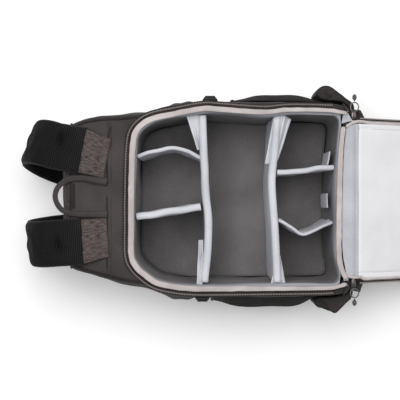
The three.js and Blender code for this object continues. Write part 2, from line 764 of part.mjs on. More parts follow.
// Haul handle: a rolled strap that leaves the yoke seam, crosses the crown and comes back.
const handleRun = [
  { along: 0.00, across: 0.42 },
  { along: 0.22, across: 0.47 },
  { along: 0.50, across: 0.53 },
  { along: 0.73, across: 0.49 },
  { along: 0.92, across: 0.34 },
  { along: 1.00, across: 0.12 },
  { along: 0.97, across: -0.11 },
  { along: 0.84, across: -0.31 },
  { along: 0.60, across: -0.39 },
  { along: 0.30, across: -0.40 },
  { along: 0.00, across: -0.39 },
];

function addHandle() {
  const control = handleRun.map(({ along, across }) => {
    const x = strapRootX - along * handleReach;
    const z = rearHeight(Math.max(x, crownSeamX)) + handleThickness / 2 + softSeat;
    return new THREE.Vector3(x, across * handleSpread, z);
  });
  const curve = new THREE.CatmullRomCurve3(control);
  const steps = 28;
  const points = curve.getPoints(steps);
  const wides = points.map((_, i) => {
    const tangent = curve.getTangent(i / steps);
    return new THREE.Vector3(-tangent.y, tangent.x, 0);
  });
  const round = [[-1, 0.35], [-0.7, 0.85], [0, 1], [0.7, 0.85], [1, 0.35]];
  addPiece(bag, 'haul_handle',
    ribbon(points, wides, points.map(() => handleWidth), handleThickness, round), colours.yokeNylon);
}

// Short zip across the yoke behind the handle, from and to shares of the handle's spread.
const crownZipSpan = [-0.23, 0.37];

function addCrownZip() {
  const from = crownSeamX + crownZipInset;
  const to = from + crownZipWidth;
  const lift = (x) => rearHeight(x) + seat;
  const rings = crownZipSpan.map((share) => share * handleSpread).map((y) => [
    new THREE.Vector3(from, y, lift(from)),
    new THREE.Vector3(to, y, lift(to)),
    new THREE.Vector3(to, y, lift(to) + zipTapeThickness),
    new THREE.Vector3(from, y, lift(from) + zipTapeThickness),
  ]);
  addPiece(bag, 'crown_zip', loft(rings), colours.zipTape);
}

// Stretch pocket on a side panel: a bulged sheet sewn down on three edges, open to the top.
// Rows: share of the pocket's length from its mouth, share of the full bulge.
const pocketSwell = [
  { along: 0.00, swell: 0.78 },
  { along: 0.18, swell: 0.95 },
  { along: 0.40, swell: 1.00 },
  { along: 0.62, swell: 1.00 },
  { along: 0.84, swell: 0.75 },
  { along: 0.95, swell: 0.35 },
  { along: 1.00, swell: 0.00 },
];

// The two pockets: mouth and foot as shares of half the compartment's length, and the bulge.
const pockets = [
  { name: 'left_side_pocket', side: 1, mouth: -0.035, foot: 0.812, bulge: 11 },
  { name: 'right_side_pocket', side: -1, mouth: -0.224, foot: 0.776, bulge: 13 },
];

// Height of a pocket's inner skin above the bag's middle plane at one place.
function pocketSkin({ mouth, foot, bulge }, x, z) {
  const along = (x / halfCompartment - mouth) / (foot - mouth);
  const up = THREE.MathUtils.clamp((z - pocketFoot) / pocketHeight, 0, 1);
  const swell = column(pocketSwell, 'swell', along);
  return sideHalfWidth(x, z) + clearOfCurve + bulge * swell * Math.sin(Math.PI * up);
}

function addPocket(pocket) {
  const { name, side, mouth, foot } = pocket;
  const steps = 8;
  const rings = pocketSwell.map(({ along }) => {
    const x = THREE.MathUtils.lerp(mouth, foot, along) * halfCompartment;
    const outer = [];
    const inner = [];
    for (let i = 0; i <= steps; i += 1) {
      const z = pocketFoot + pocketHeight * i / steps;
      const skin = pocketSkin(pocket, x, z);
      outer.push(new THREE.Vector3(x, side * (skin + pocketWall), z));
      inner.push(new THREE.Vector3(x, side * skin, z));
    }
    return [...outer, ...inner.reverse()];
  });
  addPiece(bag, name, loft(rings), colours.airMesh);
}

// Side strap: webbing down the side panel with a thick folded head at the buckle. Rows: drop
// from its top as a share of its length, and how much of the head's thickness it has.
const sideTabRun = [
  { along: 0.00, head: 0.2 },
  { along: 0.25, head: 1.0 },
  { along: 0.30, head: 0.15 },
  { along: 0.76, head: 0.05 },
  { along: 1.00, head: 0.0 },
];

// The two side straps: middle as a share of half the compartment's length.
const sideTabs = [
  { name: 'left_side_tab', side: 1, along: -0.247 },
  { name: 'right_side_tab', side: -1, along: -0.318 },
];

function addSideTab({ name, side, along }) {
  const middleX = along * halfCompartment;
  const top = rearZ - rearEdgeRadius;
  const half = sideTabWidth / 2;
  const edges = [middleX - half, middleX + half];
  const rings = sideTabRun.map((row) => {
    const z = top - row.along * sideTabDrop;
    const narrow = half * (1 - sideTabNarrowing * row.head);
    const inner = Math.max(...edges.map((x) => sideHalfWidth(x, z))) + clearOfCurve;
    const outer = inner + sideTabThickness + row.head * sideTabHead;
    return [
      new THREE.Vector3(edges[0], side * inner, z),
      new THREE.Vector3(edges[1], side * inner, z),
      new THREE.Vector3(middleX + narrow, side * outer, z),
      new THREE.Vector3(middleX - narrow, side * outer, z),
    ];
  });
  addPiece(bag, name, loft(rings), colours.plastic);
}

// Hip belt pads: folded forward round the base corners and pressed against the sides. Rows run
// along the outer face from the front tip to the base corner, in shares of half the
// compartment's length and half the body's width.
const beltPads = [
  {
    name: 'left_belt_pad',
    side: 1,
    outer: [
      { along: 0.729, out: 1.078 },
      { along: 0.765, out: 1.128 },
      { along: 0.800, out: 1.155 },
      { along: 0.841, out: 1.165 },
      { along: 0.894, out: 1.150 },
      { along: 0.953, out: 1.113 },
      { along: 1.012, out: 1.060 },
    ],
  },
  {
    name: 'right_belt_pad',
    side: -1,
    outer: [
      { along: 0.729, out: 1.088 },
      { along: 0.765, out: 1.100 },
      { along: 0.800, out: 1.112 },
      { along: 0.841, out: 1.130 },
      { along: 0.894, out: 1.155 },
      { along: 0.953, out: 1.168 },
      { along: 1.012, out: 1.110 },
    ],
  },
];

// Inner face of a belt pad at one place along the bag: clear of the side panel and its pocket
// over the pad's whole height.
function beltPadInside(pocket, x) {
  const steps = 8;
  let clear = 0;
  for (let i = 0; i <= steps; i += 1) {
    const z = beltPadFoot + beltPadWidth * i / steps;
    clear = Math.max(clear, sideHalfWidth(x, z), pocketSkin(pocket, x, z) + pocketWall);
  }
  return clear + clearOfCurve;
}

function addBeltPad({ name, side, outer }, pocket) {
  const backX = bodyBaseX + 2 * seat;
  const farX = backX + beltPadBack;
  const cornerOut = outer[outer.length - 1].out * bodyWidth / 2 - beltPadBack;
  const cornerIn = bodyHalfWidth(bodyBaseX) + clearOfCurve;
  const tailOut = cornerIn - beltPadTail;
  const levels = [
    { up: 0, tuck: beltPadRoll },
    { up: beltPadRoll, tuck: 0 },
    { up: beltPadWidth - beltPadRoll, tuck: 0 },
    { up: beltPadWidth, tuck: beltPadRoll },
  ];
  const rings = levels.map(({ up, tuck }) => {
    const z = beltPadFoot + up;
    const outside = [];
    const inside = [];
    for (const { along, out } of outer) {
      const x = along * halfCompartment;
      const clear = beltPadInside(pocket, x);
      const face = Math.max(out * bodyWidth / 2 - tuck, clear + clearOfCurve);
      outside.push(new THREE.Vector3(x, side * face, z));
      inside.push(new THREE.Vector3(x, side * clear, z));
    }
    outside.push(new THREE.Vector3(farX - tuck / 2, side * (cornerOut - tuck), z));
    inside.push(new THREE.Vector3(backX, side * cornerIn, z));
    outside.push(new THREE.Vector3(farX - tuck / 2, side * tailOut, z));
    inside.push(new THREE.Vector3(backX, side * tailOut, z));
    return [...outside, ...inside.reverse()];
  });
  addPiece(bag, name, loft(rings), colours.airMesh);
}

// Zip slider with a small post, a pull ring round the post, and a bead on a short cord.
function addZipPull(name, side) {
  const x = bodyBaseX - sliderInset;
  const y = side * (flapWidth / 2 + sliderOut);
  const half = sliderWidth / 2;
  const foot = rearHeight(x - half) + seat;
  const profile = [[0, 0.5, 1], [0.3, 1, 1], [0.75, 1, 0.9], [1, 0.7, 0.6]];
  const rings = profile.map(([along, wide, high]) => {
    const across = y + side * (along - 0.5) * sliderLength;
    return [
      new THREE.Vector3(x - half * wide, across, foot),
      new THREE.Vector3(x + half * wide, across, foot),
      new THREE.Vector3(x + half * wide * sliderTaper, across, foot + sliderHeight * high),
      new THREE.Vector3(x - half * wide * sliderTaper, across, foot + sliderHeight * high),
    ];
  });
  addPiece(bag, `${name}_zip_slider`, loft(rings), colours.gunmetal);
  const ringY = y + side * (sliderLength / 2 + pullRingRadius + pullWire + seat);
  const ring = new THREE.TorusGeometry(pullRingRadius, pullWire, 6, 16);
  const ringMesh = addPiece(bag, `${name}_pull_ring`, ring, colours.gunmetal);
  ringMesh.position.set(x + pullSwing, ringY, foot + pullWire);
  const cordLength = pullBeadReach - pullRingRadius - pullWire - seat;
  const cord = new THREE.CylinderGeometry(pullCordRadius, pullCordRadius, cordLength, 8);
  cord.translate(0, -side * cordLength / 2, 0);
  const bead = solidOf(new THREE.SphereGeometry(pullBeadRadius, 10, 6)).add(solidOf(cord));
  const beadMesh = addPiece(bag, `${name}_pull_bead`, geometryOf(bead), colours.plastic);
  beadMesh.position.set(x + pullSwing, ringY + side * pullBeadReach, foot + pullWire);
}

addBody();
addLiner();
addRimBinding();
addZip();
addDividers();
addHingeGusset();
addFlap();
straps.forEach(addStrap);
addHandle();
addCrownZip();
pockets.forEach(addPocket);
sideTabs.forEach(addSideTab);
beltPads.forEach((pad, i) => addBeltPad(pad, pockets[i]));
addZipPull('left', 1);
addZipPull('right', -1);

export default bag;
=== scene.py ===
import math

import bpy
import numpy as np
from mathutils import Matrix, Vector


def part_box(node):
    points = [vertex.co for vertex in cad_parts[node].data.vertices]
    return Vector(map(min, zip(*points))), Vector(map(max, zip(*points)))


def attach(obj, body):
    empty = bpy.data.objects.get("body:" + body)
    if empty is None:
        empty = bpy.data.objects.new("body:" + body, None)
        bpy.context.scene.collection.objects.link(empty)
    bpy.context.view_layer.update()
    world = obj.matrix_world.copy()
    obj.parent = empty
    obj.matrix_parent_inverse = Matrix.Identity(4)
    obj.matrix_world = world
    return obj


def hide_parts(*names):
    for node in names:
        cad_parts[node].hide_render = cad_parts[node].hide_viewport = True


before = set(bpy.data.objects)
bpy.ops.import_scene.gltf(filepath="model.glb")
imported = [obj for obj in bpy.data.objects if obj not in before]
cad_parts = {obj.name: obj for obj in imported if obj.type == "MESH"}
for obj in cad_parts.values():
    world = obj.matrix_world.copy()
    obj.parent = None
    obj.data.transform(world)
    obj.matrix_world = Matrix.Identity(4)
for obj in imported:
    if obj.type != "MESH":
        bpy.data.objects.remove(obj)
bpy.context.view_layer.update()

# Camera, table and light
# The bag lies on a pale table and is seen from straight above, a little to the side of its
# middle. Soft light falls from a wide panel overhead and from the room all round.
scene = bpy.context.scene
scene.view_settings.view_transform = "Standard"
rim_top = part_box("rim_binding")[1].z
camera_height = 1.6
picture_width = 0.620
camera_data = bpy.data.cameras.new("camera")
camera_data.sensor_width = 36
camera_data.lens = camera_data.sensor_width * camera_height / picture_width
camera = bpy.data.objects.new("camera", camera_data)
camera.location = (-0.0578, -0.0019, rim_top + camera_height)
scene.collection.objects.link(camera)
scene.camera = camera

world = bpy.data.worlds.new("room")
world.use_nodes = True
world.node_tree.nodes["Background"].inputs["Color"].default_value = (1.0, 1.0, 1.0, 1)
world.node_tree.nodes["Background"].inputs["Strength"].default_value = 0.34
scene.world = world


def add_panel_light(name, place, size, power):
    """Square light panel that faces the middle of the bag."""
    data = bpy.data.lights.new(name, "AREA")
    data.size = size
    data.energy = power
    panel = bpy.data.objects.new(name, data)
    panel.location = place
    aim = -np.array(place)
    panel.rotation_euler = (
        math.atan2(math.hypot(aim[0], aim[1]), -aim[2]), 0, math.atan2(aim[1], aim[0]) - math.pi / 2,
    )
    scene.collection.objects.link(panel)


add_panel_light("overhead_panel", (-0.35, 0.55, 2.3), 1.7, 42)
add_panel_light("side_panel_light", (1.5, 0.6, 1.9), 1.2, 10)


def new_finish(name, colour, roughness, sheen=0.0, metallic=0.0):
    """Finish whose even values sit on the shader's own sockets."""
    made = bpy.data.materials.new(name)
    made.use_nodes = True
    shader = made.node_tree.nodes["Principled BSDF"]
    shader.inputs["Base Color"].default_value = (*colour, 1)
    shader.inputs["Roughness"].default_value = roughness
    shader.inputs["Metallic"].default_value = metallic
    shader.inputs["Sheen Weight"].default_value = sheen
    shader.inputs["Sheen Roughness"].default_value = 0.5
    shader.inputs["Specular IOR Level"].default_value = 0.25 if metallic == 0 else 0.5
    return made, shader


table_finish, table_shader = new_finish("pale_table", (0.97, 0.97, 0.97), 0.95)
table_shader.inputs["Emission Color"].default_value = (1.0, 1.0, 1.0, 1)
table_shader.inputs["Emission Strength"].default_value = 0.14
table_mesh = bpy.data.meshes.new("table")
table_reach = 9.0
table_mesh.from_pydata(
    [(-table_reach, -table_reach, 0), (table_reach, -table_reach, 0),
     (table_reach, table_reach, 0), (-table_reach, table_reach, 0)],
    [], [(0, 1, 2, 3)],
)
table_mesh.materials.append(table_finish)
table_top = bpy.data.objects.new("table_top", table_mesh)
scene.collection.objects.link(table_top)

# Cloth body: front, side, base and crown panels
# The outer bag is matt woven nylon, sewn from panels with a rolled piping in each seam. The
# crown at the top end is a heathered polyester. All of it is soft, so it bulges and puckers.
top_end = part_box("crown_panel")[0].x
base_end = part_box("base_panel")[1].x
rear_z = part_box("left_side_panel")[1].z
half_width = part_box("left_side_panel")[1].y
body_length = base_end - top_end
lower_radius = 0.020
rear_radius = 0.010
side_lean = 0.005
cloth_wall = 0.002
seam_height = 0.026
crown_seam = top_end + 0.012
base_seam = base_end - 0.012

# Share of the length, share of the half width, underside and rear as shares of the depth.
body_stations = np.array([
    [0.000, 0.590, 0.540, 0.843],
    [0.007, 0.670, 0.472, 0.899],
    [0.020, 0.722, 0.404, 0.933],
    [0.057, 0.776, 0.309, 0.955],
    [0.117, 0.820, 0.191, 0.972],
    [0.179, 0.848, 0.079, 0.989],
    [0.230, 0.868, 0.000, 1.000],
    [0.285, 0.890, 0.000, 1.000],
    [0.333, 0.930, 0.000, 1.000],
    [0.400, 0.982, 0.000, 1.000],
    [0.510, 0.992, 0.000, 1.000],
    [0.687, 1.000, 0.000, 1.000],
    [0.885, 0.988, 0.000, 1.000],
    [0.969, 0.968, 0.000, 1.000],
    [0.987, 0.943, 0.017, 0.983],
    [1.000, 0.885, 0.056, 0.944],
])


def smooth_through(x, xs, ys):
    """Cubic curve through (xs, ys): each span is a Hermite curve whose slopes are the means of its
    neighbours' chords."""
    chords = np.diff(ys) / np.diff(xs)
    slopes = np.concatenate([chords[:1], (chords[1:] + chords[:-1]) / 2, chords[-1:]])
    flat = np.concatenate([[False], chords[1:] * chords[:-1] <= 0, [False]])
    slopes = np.where(flat, 0, slopes)
    span = np.clip(np.searchsorted(xs, x) - 1, 0, len(xs) - 2)
    width = xs[span + 1] - xs[span]
    t = np.clip((x - xs[span]) / width, 0, 1)
    near = ys[span] * (2 * t**3 - 3 * t**2 + 1) + ys[span + 1] * (3 * t**2 - 2 * t**3)
    return near + width * (slopes[span] * (t**3 - 2 * t**2 + t) + slopes[span + 1] * (t**3 - t**2))


def body_column(x, which, size):
    place = top_end + body_stations[:, 0] * body_length
    return smooth_through(np.asarray(x, float), place, body_stations[:, which] * size)


def wide_at(x):
    return body_column(x, 1, half_width)


def under_at(x):
    return body_column(x, 2, rear_z)


def rear_at(x):
    return body_column(x, 3, rear_z)


def leaned(grid):
    """The soft body leans a few millimetres to the wearer's left towards its top end."""
    shift = smooth_through(grid[..., 0], top_end + lean_rows[:, 0] * body_length, lean_rows[:, 1])
    moved = grid.copy()
    moved[..., 1] += shift
    return moved


# Share of the length and the sideways shift there.
lean_rows = np.array([
    [0.0, 0.0045], [0.08, 0.0045], [0.115, 0.0038], [0.158, 0.0022],
    [0.20, 0.0], [0.35, -0.001], [1.0, -0.001],
])

# Rim outline, clockwise seen from above, as shares of half the compartment's size.
rim_low, rim_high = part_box("rim_binding")
half_length, half_opening = 0.170, 0.144
rim_shares = np.array([
    [-0.996, 0.00], [-0.983, 0.53], [-0.945, 0.745], [-0.808, 0.880], [-0.576, 0.945],
    [-0.312, 1.000], [-0.158, 0.992], [0.116, 0.967], [0.280, 0.961], [0.481, 0.982],
    [0.820, 0.975], [0.925, 0.958], [0.984, 0.885], [0.993, 0.780], [0.974, 0.560],
    [0.964, 0.312], [0.957, 0.00], [0.954, -0.347], [0.962, -0.600], [0.988, -0.780],
    [0.984, -0.890], [0.930, -0.965], [0.820, -0.984], [0.571, -0.990], [-0.158, -1.000],
    [-0.371, -1.000], [-0.546, -0.985], [-0.744, -0.934], [-0.876, -0.831], [-0.953, -0.734],
    [-0.994, -0.604], [-0.996, -0.278],
])
rim_scale = np.array([half_length, half_opening])


def even_curve(control, count, closed=False):
    """Points at even steps along a Catmull-Rom curve through the control points."""
    c = np.asarray(control, float)
    if closed:
        before, after, beyond = np.roll(c, 1, 0), np.roll(c, -1, 0), np.roll(c, -2, 0)
    else:
        padded = np.vstack([2 * c[0] - c[1], c, 2 * c[-1] - c[-2]])
        before, c, after, beyond = padded[:-3], padded[1:-2], padded[2:-1], padded[3:]
    t = np.linspace(0, 1, 40, endpoint=False)[None, :, None]
    a, b, d, e = (p[:, None, :] for p in (before, c, after, beyond))
    fine = 0.5 * (2 * b + (d - a) * t + (2 * a - 5 * b + 4 * d - e) * t**2 + (3 * b - a - 3 * d + e) * t**3)
    fine = fine.reshape(-1, fine.shape[-1])
    fine = np.vstack([fine, fine[:1] if closed else np.asarray(control, float)[-1:]])
    length = np.concatenate([[0], np.cumsum(np.linalg.norm(np.diff(fine, axis=0), axis=1))])
    at = np.linspace(0, length[-1], count, endpoint=not closed)
    return np.stack([np.interp(at, length, fine[:, k]) for k in range(fine.shape[1])], -1)


def plan_normals(path, closed=False):
    """Unit normals in plan, to the left of the direction of travel."""
    if closed:
        along = np.roll(path, -1, 0) - np.roll(path, 1, 0)
    else:
        along = np.gradient(path, axis=0)
    left = np.stack([-along[:, 1], along[:, 0]], -1)
    return left / np.linalg.norm(left, axis=1, keepdims=True)


rim_count = 360
rim_path = even_curve(rim_shares * rim_scale, rim_count, closed=True)
rim_out = plan_normals(rim_path, closed=True)


def rim_half_width(x, side):
    """Distance of the rim's long side from the middle line at each x."""
    keep = rim_path[:, 1] * side > 0.05
    order = np.argsort(rim_path[keep, 0])
    return np.interp(x, rim_path[keep, 0][order], np.abs(rim_path[keep, 1])[order])


def edge_at(x, side):
    """Seam between the rear face and a side panel: the piping beside the yoke, then the rim."""
    blend = np.clip((x + 0.155) / 0.03, 0, 1)
    return (1 - blend) * (wide_at(x) - 0.0105) + blend * (rim_half_width(x, side) + 0.0008)


def ripples(u, v, height, length, seed):
    """Gentle unevenness: six sine waves in seeded directions, about one length from crest to crest."""
    draw = np.random.RandomState(seed)
    total = np.zeros(np.broadcast(u, v).shape)
    for _ in range(6):
        angle = draw.uniform(0, 2 * math.pi)
        phase = draw.uniform(0, 2 * math.pi)
        stretch = draw.uniform(0.7, 1.6)
        total += np.sin((u * math.cos(angle) + v * math.sin(angle)) * 2 * math.pi * stretch / length + phase)
    return total * height / 2.5


def creases(u, v, rows):
    """Sum of soft folds. Each row is (u, v, direction in degrees, length, width, height)."""
    total = np.zeros(np.broadcast(u, v).shape)
    for cu, cv, turn, long, wide, high in rows:
        c, s = math.cos(math.radians(turn)), math.sin(math.radians(turn))
        along = ((u - cu) * c + (v - cv) * s) / long
        across = (-(u - cu) * s + (v - cv) * c) / wide
        total += high * np.exp(-along**2 * 2 - across**2 * 2)
    return total


def along_normal(grid, amount, around=False):
    """Moves each point of a grid along the surface's own normal."""
    du = np.gradient(grid, axis=0)
    if around:
        dv = np.roll(grid, -1, 1) - np.roll(grid, 1, 1)
    else:
        dv = np.gradient(grid, axis=1)
    normal = np.cross(du, dv)
    normal /= np.maximum(np.linalg.norm(normal, axis=2, keepdims=True), 1e-12)
    return grid + normal * amount[..., None]


def skin(name, grid, around=False, caps=False, loop=False, facing=None):
    """Quads over a grid of points, rows by the first parameter and columns by the second.

    around joins the last column to the first, loop joins the last row to the first, and caps
    closes both ends with a fan. The UV map holds metres along the cloth, so weaves keep their
    real size. Faces are turned away from facing, or outwards where the skin is closed.
    """
    rows, columns = grid.shape[:2]
    points = grid.reshape(-1, 3)
    i = np.arange(rows if loop else rows - 1)[:, None]
    j = np.arange(columns if around else columns - 1)[None, :]
    right = (j + 1) % columns
    below = (i + 1) % rows
    quads = np.stack(
        [i * columns + j, i * columns + right, below * columns + right, below * columns + j], -1
    ).reshape(-1, 4)
    tall = np.concatenate([grid, grid[:1]], 0) if loop else grid
    down = np.linalg.norm(np.diff(tall, axis=0), axis=2).mean(1)
    ring = np.concatenate([grid, grid[:, :1]], 1) if around else grid
    side = np.linalg.norm(np.diff(ring, axis=1), axis=2).mean(0)
    u = np.concatenate([[0], np.cumsum(down)])
    v = np.concatenate([[0], np.cumsum(side)])
    ui, vj = np.broadcast_arrays(u[:-1][:, None], v[:-1][None, :])
    un, vn = np.broadcast_arrays(u[1:][:, None], v[1:][None, :])
    uv = np.stack([np.stack(p, -1) for p in ((ui, vj), (ui, vn), (un, vn), (un, vj))], 2).reshape(-1, 4, 2)
    tris = np.zeros((0, 3), int)
    tri_uv = np.zeros((0, 3, 2))
    if caps:
        k = np.arange(columns)
        ends = [points[:columns].mean(0), points[-columns:].mean(0)]
        first = np.stack([np.full(columns, len(points)), (k + 1) % columns, k], -1)
        last = np.stack([np.full(columns, len(points) + 1), (rows - 1) * columns + k,
                         (rows - 1) * columns + (k + 1) % columns], -1)
        tris = np.vstack([first, last])
        points = np.vstack([points, ends])
        tri_uv = points[tris][:, :, 1:] * 1.0
    corners = points[quads]
    face_normal = np.cross(corners[:, 2] - corners[:, 0], corners[:, 3] - corners[:, 1])
    away = corners.mean(1) - (np.asarray(facing) if facing is not None else points.mean(0))
    if (face_normal * away).sum() < 0:
        quads, uv = quads[:, ::-1], uv[:, ::-1]
        tris, tri_uv = tris[:, ::-1], tri_uv[:, ::-1]
    mesh = bpy.data.meshes.new(name)
    mesh.from_pydata(points.tolist(), [], quads.tolist() + tris.tolist())
    layer = mesh.uv_layers.new(name="UVMap")
    layer.data.foreach_set("uv", np.concatenate([uv.ravel(), tri_uv.ravel()]))
    mesh.polygons.foreach_set("use_smooth", np.ones(len(mesh.polygons), bool))
    made = bpy.data.objects.new(name, mesh)
    scene.collection.objects.link(made)
    return made


def dress(made, finish, nodes=(), thickness=0.0):
    """Gives a piece its finish, its wall, its body and the nodes that it stands for."""
    made.data.materials.append(finish)
    if thickness:
        wall = made.modifiers.new("wall", "SOLIDIFY")
        wall.thickness = thickness
        wall.offset = -1
    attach(made, "root")
    if nodes:
        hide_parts(*nodes)
    return made


def add(made, kind, **settings):
    """New shader node; settings are its own values or the defaults of its inputs by name."""
    node = made.node_tree.nodes.new(kind)
    for key, value in settings.items():
        if hasattr(node, key):
            setattr(node, key, value)
        else:
            node.inputs[key.replace("_", " ")].default_value = value
    return node


def calc(made, operation, first, second=0.0):
    """Math node on sockets or numbers; returns its result."""
    node = made.node_tree.nodes.new("ShaderNodeMath")
    node.operation = operation
    for place, value in enumerate((first, second)):
        if isinstance(value, (int, float)):
            node.inputs[place].default_value = value
        else:
            made.node_tree.links.new(value, node.inputs[place])
    return node.outputs[0]


def cloth_axes(made):
    """The two directions along the cloth, in metres."""
    place = add(made, "ShaderNodeUVMap")
    split = add(made, "ShaderNodeSeparateXYZ")
    made.node_tree.links.new(place.outputs["UV"], split.inputs[0])
    return split.outputs["X"], split.outputs["Y"]


def speckle(made, scale, detail=2.0, stretch=None):
    """Noise over the piece, from 0 to 1, with scale cells a metre. stretch reads the cloth's axes."""
    noise = add(made, "ShaderNodeTexNoise", Scale=scale, Detail=detail)
    if stretch is None:
        place = add(made, "ShaderNodeTexCoord")
        made.node_tree.links.new(place.outputs["Object"], noise.inputs["Vector"])
    else:
        u, v = cloth_axes(made)
        join = add(made, "ShaderNodeCombineXYZ")
        made.node_tree.links.new(calc(made, "MULTIPLY", u, stretch[0]), join.inputs[0])
        made.node_tree.links.new(calc(made, "MULTIPLY", v, stretch[1]), join.inputs[1])
        made.node_tree.links.new(join.outputs[0], noise.inputs["Vector"])
    return noise.outputs["Fac"]


def blend_colours(made, amount, dark, light):
    """Colour between dark and light by an amount from 0 to 1."""
    mix = add(made, "ShaderNodeMix", data_type="RGBA")
    for socket in mix.inputs:
        if socket.name == "A" and socket.type == "RGBA":
            socket.default_value = (*dark, 1)
        if socket.name == "B" and socket.type == "RGBA":
            socket.default_value = (*light, 1)
    made.node_tree.links.new(amount, mix.inputs["Factor"])
    return next(socket for socket in mix.outputs if socket.type == "RGBA")


def spread(made, value, low, high):
    """Stretches the range from low to high over 0 to 1, clipped."""
    node = add(made, "ShaderNodeMapRange")
    node.inputs["From Min"].default_value = low
    node.inputs["From Max"].default_value = high
    made.node_tree.links.new(value, node.inputs["Value"])
    return node.outputs[0]


def raise_surface(made, shader, height, distance):
    bump = add(made, "ShaderNodeBump", Distance=distance, Strength=1.0)
    made.node_tree.links.new(height, bump.inputs["Height"])
    made.node_tree.links.new(bump.outputs["Normal"], shader.inputs["Normal"])


def woven_finish(name, dark, light, pitch, relief, roughness=0.8, sheen=0.02):
    """Plain weave: the product of two sines along the cloth, under a slow change of colour."""
    made, shader = new_finish(name, light, roughness, sheen)
    u, v = cloth_axes(made)
    turn = 2 * math.pi / pitch
    weave = calc(made, "MULTIPLY", calc(made, "SINE", calc(made, "MULTIPLY", u, turn)),
                 calc(made, "SINE", calc(made, "MULTIPLY", v, turn)))
    slow = speckle(made, 22, 3)
    fine = speckle(made, 700, 2)
    tone = calc(made, "ADD", calc(made, "MULTIPLY", slow, 0.55), calc(made, "MULTIPLY", fine, 0.45))
    tone = calc(made, "ADD", spread(made, tone, 0.35, 0.65), calc(made, "MULTIPLY", weave, 0.22))
    made.node_tree.links.new(blend_colours(made, tone, dark, light), shader.inputs["Base Color"])
    raise_surface(made, shader, calc(made, "ADD", weave, calc(made, "MULTIPLY", fine, 0.7)), relief)
    return made


def heather_finish(name, dark, light):
    """Melange yarn: short pale and dark streaks along both threads of the weave."""
    made, shader = new_finish(name, dark, 0.88, 0.03)
    warp = speckle(made, 1.0, 3, stretch=(110, 540))
    weft = speckle(made, 1.0, 3, stretch=(900, 300))
    streaks = calc(made, "ADD", calc(made, "MULTIPLY", warp, 0.68), calc(made, "MULTIPLY", weft, 0.32))
    made.node_tree.links.new(
        blend_colours(made, spread(made, streaks, 0.36, 0.64), dark, light), shader.inputs["Base Color"])
    raise_surface(made, shader, streaks, 0.0006)
    return made


nylon = woven_finish("body_nylon", (0.020, 0.017, 0.017), (0.046, 0.040, 0.040), 0.0016, 0.00012)
yoke_nylon = woven_finish("yoke_nylon", (0.044, 0.037, 0.037), (0.070, 0.060, 0.059), 0.0013, 0.00010)
heather = heather_finish("heather_polyester", (0.024, 0.018, 0.017), (0.138, 0.112, 0.104))
crown_heather = heather_finish("crown_polyester", (0.024, 0.020, 0.019), (0.086, 0.074, 0.072))


def side_grid(side, x):
    """Side panel: from the rear seam over a rounded shoulder, down a bulging wall to the lower seam."""
    wide, under, rear, edge = wide_at(x), under_at(x), rear_at(x), edge_at(x, side)
    shoulder = np.minimum(rear_radius, wide - side_lean - edge - 0.001)
    t = np.linspace(0, 1, 4)[None, :-1]
    ys, zs = [], []
    flat_end = wide - side_lean - shoulder
    ys.append(edge[:, None] + (flat_end - edge)[:, None] * t)
    zs.append(np.repeat(rear[:, None], 3, 1))
    turn = np.linspace(0, math.pi / 2, 9)[None, :-1]
    ys.append(flat_end[:, None] + shoulder[:, None] * np.sin(turn))
    zs.append(rear[:, None] - shoulder[:, None] * (1 - np.cos(turn)))
    t = np.linspace(0, 1, 44)[None, :]
    top = rear - shoulder
    low = under + seam_height
    middle = (under + rear) / 2
    z = top[:, None] + (low - top)[:, None] * t
    over = np.clip((z - middle[:, None]) / (top - middle)[:, None], 0, 1)
    below = np.clip((middle[:, None] - z) / (middle - under)[:, None], 0, 1)
    ys.append(wide[:, None] - side_lean * over**2 - 0.002 * below**2)
    zs.append(z)
    y, z = np.hstack(ys), np.hstack(zs)
    grid = np.stack([np.repeat(x[:, None], y.shape[1], 1), side * y, z], -1)
    inner = np.clip((rear[:, None] - z) / 0.03, 0, 1) * np.clip((z - low[:, None]) / 0.02, 0, 1)
    slack = ripples(grid[..., 0], grid[..., 2], 0.0011, 0.09, 11 + side) * inner
    folds = creases(grid[..., 0], grid[..., 2], [
        (-0.19, 0.12, 20, 0.07, 0.012, 0.0028), (-0.15, 0.07, -25, 0.06, 0.012, -0.0025),
        (-0.10, 0.13, 75, 0.04, 0.010, 0.0025), (-0.22, 0.09, 60, 0.04, 0.010, -0.002),
        (0.15, 0.12, 80, 0.05, 0.010, -0.0025), (-0.075, 0.15, 60, 0.03, 0.008, 0.003),
        (-0.12, 0.16, 10, 0.03, 0.006, 0.0035), (-0.03, 0.16, -15, 0.05, 0.006, 0.0022),
    ]) * inner
    if side < 0:
        folds += creases(grid[..., 0], grid[..., 2], [(-0.105, 0.12, 0, 0.060, 0.08, 0.0065)]) * inner
    grid[..., 1] += side * (slack + folds)
    return grid


panel_x = np.linspace(crown_seam, base_seam, 180)
for side, name in ((1, "left_side_panel"), (-1, "right_side_panel")):
    panel = skin(name + "_cloth", leaned(side_grid(side, panel_x)), facing=(0, 0, 0.09))
    dress(panel, nylon, [name], cloth_wall)

